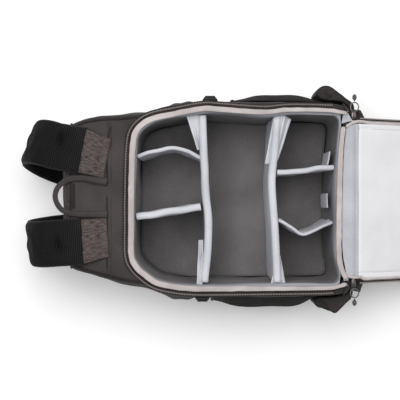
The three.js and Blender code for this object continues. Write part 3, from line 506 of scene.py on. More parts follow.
# Front panel: the face the bag lies on, with both lower edges rounded up to the side seams.
x = panel_x
wide, under = wide_at(x), under_at(x)
rows_y, rows_z = [], []
t = np.linspace(0, 1, 8)[None, :-1]
rows_y.append(wide[:, None] - 0.002 + 0 * t)
rows_z.append(under[:, None] + seam_height - (seam_height - lower_radius) * t)
turn = np.linspace(0, math.pi / 2, 12)[None, :-1]
rows_y.append(wide[:, None] - 0.002 - lower_radius * (1 - np.cos(turn)))
rows_z.append(under[:, None] + lower_radius * (1 - np.sin(turn)))
t = np.linspace(0, 1, 40)[None, :-1]
rows_y.append((wide[:, None] - 0.002 - lower_radius) * (1 - t))
rows_z.append(under[:, None] + 0 * t)
half_y, half_z = np.hstack(rows_y), np.hstack(rows_z)
grid_y = np.hstack([half_y, np.zeros((len(x), 1)), -half_y[:, ::-1]])
grid_z = np.hstack([half_z, under[:, None], half_z[:, ::-1]])
front_grid = np.stack([np.repeat(x[:, None], grid_y.shape[1], 1), grid_y, grid_z], -1)
lifted = np.clip(under[:, None] / 0.02, 0, 1) + np.clip((grid_z - 0.006) / 0.02, 0, 1)
front_grid[..., 2] += np.abs(ripples(front_grid[..., 0], grid_y, 0.0012, 0.08, 5)) * np.clip(lifted, 0, 1)
front = skin("front_panel_cloth", leaned(front_grid), facing=(0, 0, 0.09))
dress(front, nylon, ["front_panel"], cloth_wall)


def end_cap(x_values, inset, end_x, swell):
    """Whole rounded sections towards one end, then rings shrinking over a softly swollen face."""
    def ring(x):
        wide, under, rear = float(wide_at(x)), float(under_at(x)), float(rear_at(x))
        low = min(lower_radius, (rear - under) / 3)
        top = min(rear_radius, (rear - under) / 3)
        turn = np.linspace(0, math.pi / 2, 9)
        flat = np.linspace(0, 1, 30)
        right_y = np.concatenate([
            flat[:-1] * (wide - side_lean - top),
            wide - side_lean - top + top * np.sin(turn),
            (wide - side_lean / 2) + 0 * flat[1:-1],
            wide - 0.002 - low + low * np.cos(turn),
            (wide - 0.002 - low) * (1 - flat[1:]),
        ])
        right_z = np.concatenate([
            rear + 0 * flat[:-1],
            rear - top + top * np.cos(turn),
            rear - top + (under + low - rear + top) * flat[1:-1],
            under + low - low * np.sin(turn),
            under + 0 * flat[1:],
        ])
        y = np.concatenate([right_y, -right_y[-2:0:-1]])
        z = np.concatenate([right_z, right_z[-2:0:-1]])
        return np.stack([np.full(len(y), x), y, z], -1)
    rings = [ring(x) for x in x_values]
    last = rings[-1]
    centre = np.array([end_x, 0, (last[:, 2].max() + last[:, 2].min()) / 2])
    for share in np.linspace(0.94, 0.04, 12):
        shrunk = centre + (last - centre) * share
        shrunk[:, 0] = end_x + swell * (1 - share**2) ** 0.5 * inset
        rings.append(shrunk)
    return np.array(rings)


crown_grid = end_cap(np.linspace(crown_seam, top_end, 12), -1, top_end, 0.004)
crown_grid[..., 0] += ripples(crown_grid[..., 1], crown_grid[..., 2], 0.0007, 0.07, 3)
crown = skin("crown_panel_cloth", leaned(crown_grid), around=True, caps=False, facing=(0, 0, 0.1))
dress(crown, crown_heather, ["crown_panel"], cloth_wall)
base_grid = end_cap(np.linspace(base_seam, base_end, 12), 1, base_end, 0.003)
base_grid[..., 0] += ripples(base_grid[..., 1], base_grid[..., 2], 0.0006, 0.10, 4)
base = skin("base_panel_cloth", leaned(base_grid), around=True, caps=False, facing=(0, 0, 0.1))
dress(base, nylon, ["base_panel"], cloth_wall)

# Yoke panel
# The fixed part of the rear face between the crown and the zip, in a finer and paler nylon
# than the sides, with a twin row of stitches where the straps and the handle are sewn in.
yoke_end = -0.128
outer_x = np.linspace(yoke_end, crown_seam + 0.0005, 60)


def yoke_edge(x, side):
    return np.stack([x, side * edge_at(x, side)], -1)


left_edge, right_edge = yoke_edge(outer_x, 1), yoke_edge(outer_x[::-1], -1)
across = np.linspace(1, -1, 60)[1:-1]
crown_edge = np.stack([np.full(58, crown_seam + 0.0005), across * left_edge[-1, 1]], -1)
outer = np.vstack([left_edge, crown_edge, right_edge])
on_yoke = rim_path[:, 0] < yoke_end
start = np.flatnonzero(on_yoke & ~np.roll(on_yoke, 1))[0]
inner = np.roll(rim_path, -start, 0)[: on_yoke.sum()] + np.roll(rim_out, -start, 0)[: on_yoke.sum()] * 0.0006
inner = inner[::-1]


def at_even_steps(path, count):
    length = np.concatenate([[0], np.cumsum(np.linalg.norm(np.diff(path, axis=0), axis=1))])
    at = np.linspace(0, length[-1], count)
    return np.stack([np.interp(at, length, path[:, k]) for k in range(path.shape[1])], -1)


yoke_columns = 200
inner, outer = at_even_steps(inner, yoke_columns), at_even_steps(outer, yoke_columns)
out_share = np.linspace(0, 1, 40)[:, None, None]
yoke_plan = inner[None] * (1 - out_share) + outer[None] * out_share
yoke_z = rear_at(yoke_plan[..., 0])
swell = np.sin(math.pi * out_share[..., 0]) ** 0.7
yoke_z = yoke_z + swell * (0.0012 + ripples(yoke_plan[..., 0], yoke_plan[..., 1], 0.0007, 0.05, 21))
yoke_z += swell * creases(yoke_plan[..., 0], yoke_plan[..., 1], [
    (-0.185, 0.000, 88, 0.10, 0.004, 0.0012), (-0.190, 0.085, 60, 0.03, 0.004, 0.0014),
    (-0.187, -0.080, -60, 0.03, 0.004, 0.0014), (-0.225, 0.005, 84, 0.03, 0.006, -0.0012),
    (-0.240, 0.014, 95, 0.025, 0.005, 0.0014),
])
stitch_x = (-0.2015, -0.1965)
groove_depth, groove_width, groove_reach = 0.0009, 0.0012, 0.119
for line in stitch_x:
    groove = np.exp(-((yoke_plan[..., 0] - line) / groove_width) ** 2)
    yoke_z -= groove_depth * groove * (np.abs(yoke_plan[..., 1]) < groove_reach)
yoke_grid = np.concatenate([yoke_plan, yoke_z[..., None]], -1)
follow = np.clip(out_share * 1.4, 0, 1)
yoke = skin("yoke_panel_cloth", yoke_grid * (1 - follow) + leaned(yoke_grid) * follow, facing=(0, 0, 0))
dress(yoke, yoke_nylon, ["yoke_panel"], cloth_wall)


def stitch_row(name, path, finish, pitch=0.0032, length=0.0024, radius=0.00042, lift=0.0001,
               crosswise=False, nodes=(), up_way=(0, 0, 1.0)):
    """Row of stitches or zip teeth on a path: small six-sided beads, long along it or across it."""
    total = np.linalg.norm(np.diff(path, axis=0), axis=1).sum()
    count = max(int(total / pitch), 2)
    centres = at_even_steps(path, count)
    along = np.gradient(centres, axis=0)
    along /= np.linalg.norm(along, axis=1, keepdims=True)
    wide = np.cross(along, up_way)
    wide /= np.maximum(np.linalg.norm(wide, axis=1, keepdims=True), 1e-9)
    up = np.cross(wide, along)
    if crosswise:
        along, wide = wide, -along
    shape = [(-0.5, 0, 0)]
    for place, size in ((-0.3, 1.0), (0.3, 1.0)):
        for k in range(6):
            turn = k * math.pi / 3
            shape.append((place, size * math.cos(turn), size * math.sin(turn)))
    shape.append((0.5, 0, 0))
    shape = np.array(shape)
    points = (centres[:, None] + up[:, None] * lift + along[:, None] * shape[None, :, :1] * length
              + wide[:, None] * shape[None, :, 1:2] * radius + up[:, None] * shape[None, :, 2:] * radius)
    faces = []
    for k in range(6):
        n = (k + 1) % 6
        faces += [(0, 1 + n, 1 + k, 1 + k), (1 + k, 1 + n, 7 + n, 7 + k), (13, 7 + k, 7 + n, 7 + n)]
    tidy = [[f for f in faces if f[2] == f[3]], [f for f in faces if f[2] != f[3]]]
    mesh = bpy.data.meshes.new(name)
    shift = np.arange(count) * 14
    tris = (np.array(tidy[0])[None, :, :3] + shift[:, None, None]).reshape(-1, 3)
    quads = (np.array(tidy[1])[None] + shift[:, None, None]).reshape(-1, 4)
    mesh.from_pydata(points.reshape(-1, 3).tolist(), [], tris.tolist() + quads.tolist())
    mesh.polygons.foreach_set("use_smooth", np.ones(len(mesh.polygons), bool))
    made = bpy.data.objects.new(name, mesh)
    scene.collection.objects.link(made)
    return dress(made, finish, nodes)


thread, _ = new_finish("dark_thread", (0.012, 0.010, 0.010), 0.6, 0.1)
for row, line in enumerate(stitch_x):
    y = np.linspace(0.118, -0.116, 120)
    path = np.stack([np.full(120, line), y, rear_at(np.full(120, line)) + 0.0009], -1)
    stitch_row(f"yoke_stitches_{row}", path, thread)


def rod(name, path, radius, finish, nodes=(), sides=10, squash=1.0, caps=True, closed=False):
    """Round or flattened rod: a circle of sides points carried along the path, flat in height."""
    along = np.roll(path, -1, 0) - np.roll(path, 1, 0) if closed else np.gradient(path, axis=0)
    along /= np.linalg.norm(along, axis=1, keepdims=True)
    wide = np.cross(along, [0, 0, 1.0])
    size = np.linalg.norm(wide, axis=1, keepdims=True)
    wide = np.where(size > 0.05, wide / np.maximum(size, 1e-9), [0.0, 1.0, 0.0])
    up = np.cross(wide, along)
    turn = np.linspace(0, 2 * math.pi, sides, endpoint=False)
    radius = np.broadcast_to(np.asarray(radius, float), (len(path),))[:, None, None]
    grid = (path[:, None] + wide[:, None] * np.cos(turn)[None, :, None] * radius
            + up[:, None] * np.sin(turn)[None, :, None] * radius * squash)
    made = skin(name, grid, around=True, caps=caps and not closed, loop=closed)
    return dress(made, finish, nodes)


# Piping in the seams: a covered cord along the yoke's edges, the lower seams and the base.
piping = woven_finish("piping_nylon", (0.012, 0.010, 0.010), (0.034, 0.027, 0.026), 0.0012, 0.0001)
y = np.linspace(0.112, -0.108, 90)
seam_x = -0.2032 + 0.0055 * np.clip((y - 0.060) / 0.05, 0, 1) ** 2
seam_line = np.stack([seam_x, y, rear_at(seam_x) + 0.0012], -1)
rod("yoke_seam_fold", seam_line, 0.0009, piping, squash=0.6)
for side, name in ((1, "left"), (-1, "right")):
    x = np.linspace(crown_seam, yoke_end - 0.004, 80)
    line = np.stack([x, side * (edge_at(x, side) + 0.0004), rear_at(x) + 0.0008], -1)
    rod(f"{name}_yoke_piping", leaned(line), 0.0017, piping)
    x = np.linspace(crown_seam, base_seam, 140)
    line = np.stack([x, side * (wide_at(x) - 0.0008), under_at(x) + seam_height], -1)
    rod(f"{name}_lower_piping", leaned(line), 0.0016, piping)
for x_seam, name in ((crown_seam, "crown"), (base_seam, "base")):
    ring = end_cap([x_seam], 1, x_seam, 0)[0]
    grow = (ring - ring.mean(0)) * 0.004 + ring
    if name == "base":
        grow = grow[(grow[:, 2] < rear_z * 0.96) | (np.abs(grow[:, 1]) > half_width * 0.86)]
        turn_at = np.argmax(np.linalg.norm(np.roll(grow, -1, 0) - grow, axis=1)) + 1
        grow = np.roll(grow, -turn_at, 0)
        grow[:, 2] = np.maximum(grow[:, 2], 0.0017)
        rod("base_piping", leaned(grow), 0.0015, piping)
    else:
        rod("crown_piping", leaned(grow), 0.0015, piping, closed=True)

# Foam liner
# A padded tub stands inside the body: a floor and one ring of foam wall, covered in brushed
# grey lining that the dividers' hook tabs grip. Its top edge ends under the rim's binding.
foam_wall = 0.010
liner_floor_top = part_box("liner_floor")[1].z


def lining_finish(name, dark, light, sheen=0.05):
    """Brushed lining: short soft nap over a slow change of shade."""
    made, shader = new_finish(name, light, 0.92, sheen)
    nap = speckle(made, 1.0, 3, stretch=(900, 420))
    slow = speckle(made, 16, 3)
    tone = calc(made, "ADD", calc(made, "MULTIPLY", nap, 0.5), calc(made, "MULTIPLY", slow, 0.5))
    made.node_tree.links.new(
        blend_colours(made, spread(made, tone, 0.36, 0.64), dark, light), shader.inputs["Base Color"])
    raise_surface(made, shader, nap, 0.0004)
    return made


wall_lining = lining_finish("wall_lining", (0.140, 0.133, 0.134), (0.240, 0.228, 0.230))
# Painted light: the wall's upper strip is mixed towards a paler bluish grey, standing for the light that
# falls on the top of the wall.
shader = wall_lining.node_tree.nodes["Principled BSDF"]
plain = shader.inputs["Base Color"].links[0].from_socket
where = add(wall_lining, "ShaderNodeTexCoord")
heights = add(wall_lining, "ShaderNodeSeparateXYZ")
wall_lining.node_tree.links.new(where.outputs["Object"], heights.inputs[0])
lit_top_share = calc(wall_lining, "MULTIPLY", spread(wall_lining, heights.outputs["Z"], 0.154, 0.160), 0.55)
painted_light_mix = add(wall_lining, "ShaderNodeMix", data_type="RGBA")
painted_light_inputs = [socket for socket in painted_light_mix.inputs if socket.type == "RGBA"]
wall_lining.node_tree.links.new(lit_top_share, painted_light_mix.inputs["Factor"])
wall_lining.node_tree.links.new(plain, painted_light_inputs[0])
# Paler bluish grey of the painted light on the wall's top strip.
painted_light_inputs[1].default_value = (0.44, 0.46, 0.52, 1)
painted_light_colour = next(socket for socket in painted_light_mix.outputs if socket.type == "RGBA")
wall_lining.node_tree.links.new(painted_light_colour, shader.inputs["Base Color"])


def carried(path, out, section, up=(0.0, 0.0, 1.0)):
    """Section of (outward offset, height) rows carried along a path: one grid row for each point."""
    offset, height = np.asarray(section, float).T
    return (path[:, None] + out[:, None] * offset[None, :, None]
            + np.asarray(up)[None, None] * height[None, :, None])


def closed_section(corners, radius, step):
    """Closed profile: each corner is rounded by a quadratic curve, and the sides are cut into steps."""
    c = np.asarray(corners, float)
    points = []
    for k, corner in enumerate(c):
        before, after = c[k - 1] - corner, c[(k + 1) % len(c)] - corner
        r = min(radius, np.linalg.norm(before) * 0.45, np.linalg.norm(after) * 0.45)
        a = corner + before / np.linalg.norm(before) * r
        b = corner + after / np.linalg.norm(after) * r
        t = np.linspace(0, 1, 4)[:, None]
        points.append(a * (1 - t) ** 2 + corner * 2 * t * (1 - t) + b * t**2)
        far = c[(k + 1) % len(c)]
        reach = np.linalg.norm(far - b) - min(radius, np.linalg.norm(far - corner) * 0.45)
        count = int(reach / step)
        if count > 1:
            share = (np.arange(1, count) / count)[:, None]
            points.append(b + (far - b) / np.linalg.norm(far - b) * reach * share)
    return np.vstack(points)


def flat_path(path, z=0.0):
    return np.concatenate([path, np.full((len(path), 1), z)], 1)


rim_flat, rim_away = flat_path(rim_path), flat_path(rim_out)
wall_foot, wall_face = 0.009, -0.0005
wall_section = closed_section([(-foam_wall, wall_foot), (wall_face, wall_foot),
                               (wall_face, rear_z), (-foam_wall, rear_z)],
                              0.003, 0.008)
wall_grid = carried(rim_flat, rim_away, wall_section)
inward = np.clip((-wall_section[:, 0] - 0.006) / 0.004, 0, 1)[None, :]
uneven = ripples(wall_grid[..., 0] + wall_grid[..., 1], wall_grid[..., 2], 0.0012, 0.09, 31) * inward
wall_grid[..., :2] += rim_out[:, None] * uneven[..., None]
liner = skin("liner_wall_padding", wall_grid, around=True, loop=True)
dress(liner, wall_lining, ["liner_wall"])

shares = np.linspace(1, 0.03, 26)[:, None, None]
floor_edge = flat_path(rim_path - rim_out * (foam_wall + 0.0004))
floor_rows = floor_edge[None] * shares
floor_slack = 0.0006
floor_rows[..., 2] = liner_floor_top - floor_slack
floor_rows[..., 2] += ripples(floor_rows[..., 0], floor_rows[..., 1], floor_slack, 0.08, 8)
skirt = floor_edge[None] * np.ones((2, 1, 1))
skirt[0, :, 2], skirt[1, :, 2] = 0.0045, liner_floor_top - 0.002
under_rows = floor_edge[None] * shares[::-1]
under_rows[..., 2] = 0.0035
floor_grid = np.concatenate([under_rows, skirt, floor_rows])
floor_pad = skin("liner_floor_padding", floor_grid, around=True, caps=True)
dress(floor_pad, wall_lining, ["liner_floor"])

# Rim binding
# A folded grosgrain tape, pinkish grey, is sewn over the top edge of the foam wall and the
# cloth all round the opening, with one row of stitches near its outer edge.
def ribbed_finish(name, dark, light, pitch):
    """Grosgrain tape: fine ribs across its length, broken by the threads along it."""
    made, shader = new_finish(name, light, 0.85, 0.05)
    u, v = cloth_axes(made)
    rib = calc(made, "SINE", calc(made, "MULTIPLY", u, 2 * math.pi / pitch))
    thread_rows = calc(made, "SINE", calc(made, "MULTIPLY", v, 2 * math.pi / (pitch * 1.2)))
    dots = calc(made, "MULTIPLY", rib, thread_rows)
    slow = speckle(made, 30, 3)
    tone = calc(made, "ADD", calc(made, "MULTIPLY", dots, 0.28), spread(made, slow, 0.3, 0.7))
    made.node_tree.links.new(blend_colours(made, tone, dark, light), shader.inputs["Base Color"])
    raise_surface(made, shader, dots, 0.00025)
    return made


binding_tape = ribbed_finish("binding_tape", (0.50, 0.450, 0.440), (0.70, 0.640, 0.625), 0.0013)
turn = np.linspace(0, math.pi, 21)
cosine, sine = np.cos(turn), np.sin(turn)
low = rim_low.z + 0.0002
crown_line = np.stack([
    -0.5 + 0.5 * np.sign(cosine) * np.abs(cosine) ** 0.35,
    rim_high.z - 0.0026 + 0.0026 * sine ** 0.5,
], -1)
binding_section = np.vstack([[0.0, low], crown_line, [-1.0, low], [-0.5, low]])


round_end = 0.0045


def bound_edge(name, control, width_rows, nodes=()):
    """Folded tape along a plan curve: a flat-topped section whose width follows width_rows, each
    (x, width), and shrinks on an arc over the last few millimetres so that its ends are round."""
    path = even_curve(np.asarray(control) * rim_scale, 320)
    out = plan_normals(path)
    from_first = np.linalg.norm(path - path[0], axis=1)
    from_last = np.linalg.norm(path - path[-1], axis=1)
    in_end = np.maximum(round_end - np.minimum(from_first, from_last), 0)
    squeeze = np.sqrt(np.maximum(1 - (in_end / round_end) ** 2, 0.02))
    width = np.interp(path[:, 0], *np.asarray(width_rows).T)
    width = width[:, None]
    offset = (binding_section[None, :, 0] + 0.5) * width * squeeze[:, None] - width / 2
    if out[0] @ path[0] < 0:
        out = -out
    plan = path[:, None] + out[:, None] * offset[..., None]
    height = np.broadcast_to(binding_section[None, :, 1], offset.shape)
    grid = np.concatenate([plan, height[..., None]], -1)
    grid = along_normal(grid, ripples(grid[..., 0], grid[..., 1], 0.00022, 0.024, 41), around=True)
    dress(skin(name, grid, around=True, caps=True), binding_tape, nodes)
    seam = path + out * (-0.0021 * squeeze)[:, None]
    stitch_row(name + "_stitches", flat_path(seam, rim_high.z - 0.0004), pale_thread, pitch=0.0036)


pale_thread, _ = new_finish("pale_thread", (0.50, 0.47, 0.46), 0.7, 0.1)
three_sides = np.vstack([[1.005, -0.937], rim_shares[21:], rim_shares[:12], [1.006, 0.944]])
rim_widths = [(-0.17, 0.0092), (-0.09, 0.0086), (0.03, 0.0080), (0.07, 0.0068), (0.15, 0.0060)]
bound_edge("rim_binding_tape", three_sides, rim_widths, ["rim_binding"])
base_side = np.array([[0.992, 0.775], [0.978, 0.64], [0.965, 0.40], [0.959, 0.095], [0.953, -0.357],
                      [0.957, -0.64], [0.982, -0.775], [1.012, -0.855]])
base_side_widths = [(0.15, 0.0084), (0.163, 0.0084), (0.168, 0.0072), (0.18, 0.0060)]
bound_edge("base_side_binding_tape", base_side, base_side_widths)

# Zip round the rim
# One half of the opening's coil zip: a woven tape on three sides of the rim with a row of
# moulded coil teeth along its middle. The other half is on the back panel.
tape_nylon = woven_finish("zip_tape_weave", (0.018, 0.014, 0.013), (0.050, 0.040, 0.038), 0.0010, 0.0001)
coil_nylon, _ = new_finish("coil_nylon", (0.34, 0.30, 0.285), 0.42)
tape_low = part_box("zip_tape")[0].z
tape_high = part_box("zip_tape")[1].z
zipped = rim_path[:, 0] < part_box("zip_tape")[1].x - 0.004
first = np.flatnonzero(zipped & ~np.roll(zipped, 1))[0]
zip_path = flat_path(np.roll(rim_path, -first, 0)[: zipped.sum()])
zip_out = flat_path(np.roll(rim_out, -first, 0)[: zipped.sum()])
tape_near, tape_far = 0.0003, 0.0088
tape_section = closed_section([(tape_near, tape_low), (tape_far, tape_low),
                               (tape_far, tape_high), (tape_near, tape_high)], 0.0005, 0.002)
tape = skin("zip_tape_weave_strip", carried(zip_path, zip_out, tape_section), around=True, caps=True)
dress(tape, tape_nylon, ["zip_tape"])
coil_path = zip_path + zip_out * 0.0054
coil_path[:, 2] = tape_high + 0.0008
stitch_row("zip_coil", coil_path, coil_nylon, pitch=0.0025, length=0.0028, radius=0.0007,
           crosswise=True, nodes=["zip_teeth"])
for offset, name in ((0.0012, "inner"), (0.0083, "outer")):
    seam = zip_path + zip_out * offset
    seam[:, 2] = tape_high + 0.0001
    stitch_row(f"zip_{name}_stitches", seam, thread, pitch=0.004)

# Dividers
# Foam boards in smooth pale lining, each with a bound edge along the top. They bend as their
# ends are gripped by hook tabs on the liner, so none of them is straight.
divider_lining = lining_finish("divider_lining", (0.50, 0.51, 0.55), (0.70, 0.705, 0.74), 0.05)


def inside_depth(points):
    """How far each point of the plan lies inside the rim outline."""
    gap = points[:, None] - rim_path[None]
    nearest = np.argmin((gap**2).sum(-1), axis=1)
    offset = points - rim_path[nearest]
    return -(offset * rim_out[nearest]).sum(-1)


def divider_skin(name, run, thickness, foot, top, keep, seed, sag=0.0, slack=0.0009):
    """Padded board on edge: a section with a rounded, bound top carried along the run's curve.

    Half the thickness at each height is its full value times one less a narrow dip under the
    bound edge. keep is the range of clear length along the curve, in shares.
    """
    path = even_curve(np.asarray(run) * [half_length, half_opening], 90)
    inside = inside_depth(path) > foam_wall + 0.0008
    path = path[inside]
    path = at_even_steps(path[int(keep[0] * len(path)): int(keep[1] * len(path)) or None], 70)
    left = plan_normals(path)
    half = thickness / 2
    s = np.linspace(0, 1, 30)
    turn = np.linspace(0, math.pi, 9)[1:-1]
    cap = half * 0.86
    dip = 1 - 0.16 * np.exp(-((s - 0.93) / 0.02) ** 2) - 0.10 * np.exp(-(s / 0.05) ** 2)
    high = top - foot - cap
    heights = s * high
    right = np.stack([half * dip, heights], -1)
    over = np.stack([half * np.cos(turn), high + cap * np.sin(turn)], -1)
    section = np.vstack([right, over, right[::-1] * [-1, 1]])
    grid = carried(flat_path(path, foot), flat_path(left), section)
    along = np.linspace(0, 1, len(path))[:, None]
    share = (section[:, 1] / (top - foot))[None]
    grid[..., 2] -= sag * np.sin(math.pi * along) * share**2
    grid[..., 2] += ripples(grid[..., 0], grid[..., 1], slack / 2, 0.05, seed) * share
    soft = ripples(np.cumsum(np.full(grid.shape[:2], 0.002), 0), grid[..., 2], slack, 0.06, seed + 1)
    grid[..., :2] += left[:, None] * soft[..., None]
    return skin(name, grid, around=True, caps=True)


rows = [
    ("long_divider_top_side", 0.012, (0, 1), 61, 0.0015,
     [[-.322, 1.05], [-.308, .52], [-.294, .31], [-.285, .04], [-.262, -.34], [-.304, -1.05]]),
    ("long_divider_base_side", 0.012, (0, 1), 63, 0.0015,
     [[.375, 1.05], [.352, .55], [.330, .25], [.335, 0.0], [.352, -.35], [.378, -1.05]]),
    ("curved_divider", 0.006, (0, 0.99), 65, 0.001,
     [[-1.05, .40], [-.86, .49], [-.62, .56], [-.46, .52], [-.31, .44]]),
    ("cross_divider_top_side", 0.011, (0, 0.99), 67, 0.001,
     [[-1.05, -.22], [-.62, -.145], [-.325, -.085]]),
    ("cross_divider_base_side", 0.008, (0.01, 1), 69, 0.001,
     [[.378, .285], [.64, .315], [1.05, .37]]),
    ("sling_divider", 0.005, (0.01, 1), 71, 0.002,
     [[.392, -.235], [.45, -.27], [.61, -.385], [.80, -.31], [1.05, -.12]]),
]
for name, thick, keep, seed, sag, run in rows:
    board = divider_skin(name + "_padding", run, thick, liner_floor_top + 0.0006,
                         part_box(name)[1].z, keep, seed, sag)
    dress(board, divider_lining, [name])

# Hook tabs: flat wings of the same lining that wrap from a divider's end on to the wall.
for name, run, thick, top, seed in (
    ("base_cross_wing", [[.850, .375], [.862, .44], [.872, .52]], 0.0022, 0.150, 91),
    ("sling_wing", [[.855, -.10], [.852, -.02], [.852, .06]], 0.0018, 0.142, 93),
):
    wing = divider_skin(name, run, thick, top - 0.085, top, (0, 1), seed, slack=0.0002)
    dress(wing, divider_lining)


def patch(corners, rows_count, columns_count, folds, seed, soft):
    """Bilinear sheet between four corners, raised by folds given in shares of the sheet."""
    a, b, c, d = np.asarray(corners, float)
    s = np.linspace(0, 1, rows_count)[:, None, None]
    t = np.linspace(0, 1, columns_count)[None, :, None]
    grid = (a * (1 - s) + b * s) * (1 - t) + (d * (1 - s) + c * s) * t
    u, v = np.broadcast_arrays(s[..., 0], t[..., 0])
    grid[..., 2] += creases(u, v, folds) + ripples(u, v, soft, 0.6, seed)
    return grid


# Where a long divider's end is too long for the opening its cloth is folded over at the rim.
folded = [
    (0.3, 0.35, 6, 0.9, 0.16, 0.0026),
    (0.5, 0.7, -5, 0.9, 0.14, -0.0022),
    (0.7, 0.45, 60, 0.3, 0.10, 0.0016),
]
for name, corners in (
    ("top_side_upper_fold", [[-.0797, .1320, .1660], [-.0610, .0769, .1600], [-.0565, .0769, .1580],
                             [-.0600, .1335, .1650]]),
    ("top_side_lower_fold", [[-.0630, -.1345, .1630], [-.0594, -.0647, .1620], [-.0531, -.0647, .1640],
                             [-.0540, -.1350, .1640]]),
    ("base_side_upper_fold", [[.0583, .1320, .1650], [.0446, .0548, .1600], [.0570, .0548, .1620],
                              [.0725, .1325, .1660]]),
    ("base_side_outer_fold", [[.0715, .1330, .1660], [.0572, .0611, .1620], [.0660, .0615, .1520],
                              [.0868, .1255, .1520]]),
    ("base_side_lower_fold", [[.0536, -.1345, .1650], [.0650, -.0901, .1600], [.0690, -.0902, .1580],
                              [.0780, -.1340, .1500]]),
):
    fold = skin(name, patch(corners, 40, 18, folded, 171, 0.0008), facing=(0, 0, -1))
    dress(fold, divider_lining, thickness=0.0016)

# Back panel
# The padded back panel is unzipped and folded over past the base: a foam board in nylon with
# a pale lining, a bound edge and its own half of the zip. A lining strip hinges it to the rim.
hinge = np.array([base_end + 0.007, 0.0, rear_z + 0.003])
flap_length, flap_width, flap_thickness = 0.335, 0.2505, 0.012
flap_shift = -0.0030
flap_foot = flap_length - 0.003
slope = math.asin(hinge[2] / math.hypot(flap_foot, flap_thickness)) - math.atan2(flap_thickness, flap_foot)
flap_along = np.array([math.cos(slope), 0.0, -math.sin(slope)])
flap_up = np.array([math.sin(slope), 0.0, math.cos(slope)])


def on_flap(u, y, n):
    """Point of the back panel: u along it from the hinge, y across it, n above its face."""
    u, y, n = np.broadcast_arrays(u, y, n)
    across = np.array([0, 1.0, 0]) * (y[..., None] + flap_shift)
    return hinge + flap_along * u[..., None] + across + flap_up * n[..., None]


def flap_edge(inset, count=420):
    """Rounded outline of the back panel, set in from its edge, as (u, y) points."""
    half, far = flap_width / 2 - inset, flap_length - inset
    near_r, far_r = max(0.008 - inset, 0.001), max(0.034 - inset, 0.001)
    arcs = []
    for cu, cy, r, start in (
        (far - far_r, -half + far_r, far_r, -90), (far - far_r, half - far_r, far_r, 0),
        (inset + near_r, half - near_r, near_r, 90), (inset + near_r, near_r - half, near_r, 180),
    ):
        a = np.radians(np.linspace(start, start + 90, 14))
        arcs.append(np.stack([cu + r * np.cos(a), cy + r * np.sin(a)], -1))
    ring = np.vstack(arcs + [arcs[0][:1]])
    return at_even_steps(ring, count + 1)[:-1]


def flap_rings(rows):
    """Closed rings over the back panel from rows of (inset, height, share of the ring's size)."""
    middle = np.array([flap_length / 2, 0.0])
    grid = []
    for inset, high, share in rows:
        ring = middle + (flap_edge(inset) - middle) * share
        grid.append(on_flap(ring[:, 0], ring[:, 1], high))
    return np.array(grid)


board_rows = [(0.003, -flap_thickness, s) for s in np.linspace(0.03, 1, 14)]
board_rows += [(0.003 - 0.003 * math.sin(a), -flap_thickness / 2 - (flap_thickness / 2) * math.cos(a), 1)
               for a in np.linspace(0.3, math.pi - 0.3, 12)]
board_rows += [(0.003, 0.0, s) for s in np.linspace(1, 0.03, 14)]
board = skin("flap_board_cover", flap_rings(board_rows), around=True, caps=True)
dress(board, nylon, ["flap_board"])

lining_inset = 0.0056
near_u, far_u = 0.0, flap_length - lining_inset
far_r = 0.034 - lining_inset
u = near_u + (far_u - near_u) * np.sin(np.linspace(0, math.pi / 2, 70))
half = flap_width / 2 - lining_inset
past = np.clip(u - (far_u - far_r), 0, far_r)
limit = half - far_r + np.sqrt(np.maximum(far_r**2 - past**2, 0))
across = np.sin(np.linspace(-math.pi / 2, math.pi / 2, 90))
lining_u = np.repeat(u[:, None], 90, 1)
lining_y = limit[:, None] * across[None]
to_side = np.minimum(limit[:, None] - np.abs(lining_y), far_u - lining_u)
to_edge = np.minimum(to_side, lining_u - near_u + 0.004)
puff = 0.0016 * np.clip((to_edge - 0.0075) / 0.02, 0, 1) ** 0.5
groove = -0.0008 * np.exp(-((to_edge - 0.0075) / 0.0013) ** 2)
high = 0.0017 + puff + groove + ripples(lining_u, lining_y, 0.0006, 0.07, 17) * np.clip(to_edge / 0.02, 0, 1)
high += creases(lining_u, lining_y, [
    (0.03, 0.06, 84, 0.05, 0.006, 0.0008), (0.05, -0.05, 95, 0.06, 0.008, -0.0007),
    (0.025, -0.085, 70, 0.03, 0.005, 0.0008),
])
flap_lining_cloth = lining_finish("back_panel_lining", (0.70, 0.70, 0.715), (0.80, 0.80, 0.815), 0.03)
lining = skin("flap_lining_cloth", on_flap(lining_u, lining_y, high), facing=(0, 0, -3))
dress(lining, flap_lining_cloth, ["flap_lining"], 0.0012)

ring = flap_edge(0.0015 + 0.002)
ring_path = on_flap(ring[:, 0], ring[:, 1], 0.0)
open_part = ring[:, 0] > 0.012
first = np.flatnonzero(open_part & ~np.roll(open_part, 1))[0]
ring_path = np.roll(ring_path, -first, 0)[: open_part.sum()]
# Both ends of the tape turn in over the hinge and meet the rim's tape.
turned_in = [[0.1697, -0.1190, rear_z + 0.0035], [0.1760, -0.1212, rear_z + 0.0032],
             [0.1835, -0.1222, rear_z + 0.0030], [0.1915, -0.1216, rear_z + 0.0024]]
mirrored = [[0.1690, 0.1110, rear_z + 0.0040], [0.1740, 0.1155, rear_z + 0.0034],
            [0.1820, 0.1190, rear_z + 0.0030], [0.1905, 0.1204, rear_z + 0.0024]]
ring_path = even_curve(np.vstack([turned_in, ring_path[::6], mirrored[::-1]]), 460)
away = np.cross(np.gradient(ring_path, axis=0), flap_up)
away /= np.linalg.norm(away, axis=1, keepdims=True)
turn = np.linspace(0, math.pi, 11)
edge_half = 0.0022
edge_crown = np.stack([edge_half * np.cos(turn), 0.0010 + 0.0017 * np.sin(turn)], -1)
edge_section = np.vstack([edge_crown, [-edge_half, 0.0003], [edge_half, 0.0003]])
edge_tape = skin("flap_binding_tape", carried(ring_path, away, edge_section, flap_up), around=True, caps=True)
dress(edge_tape, binding_tape, ["flap_binding"])

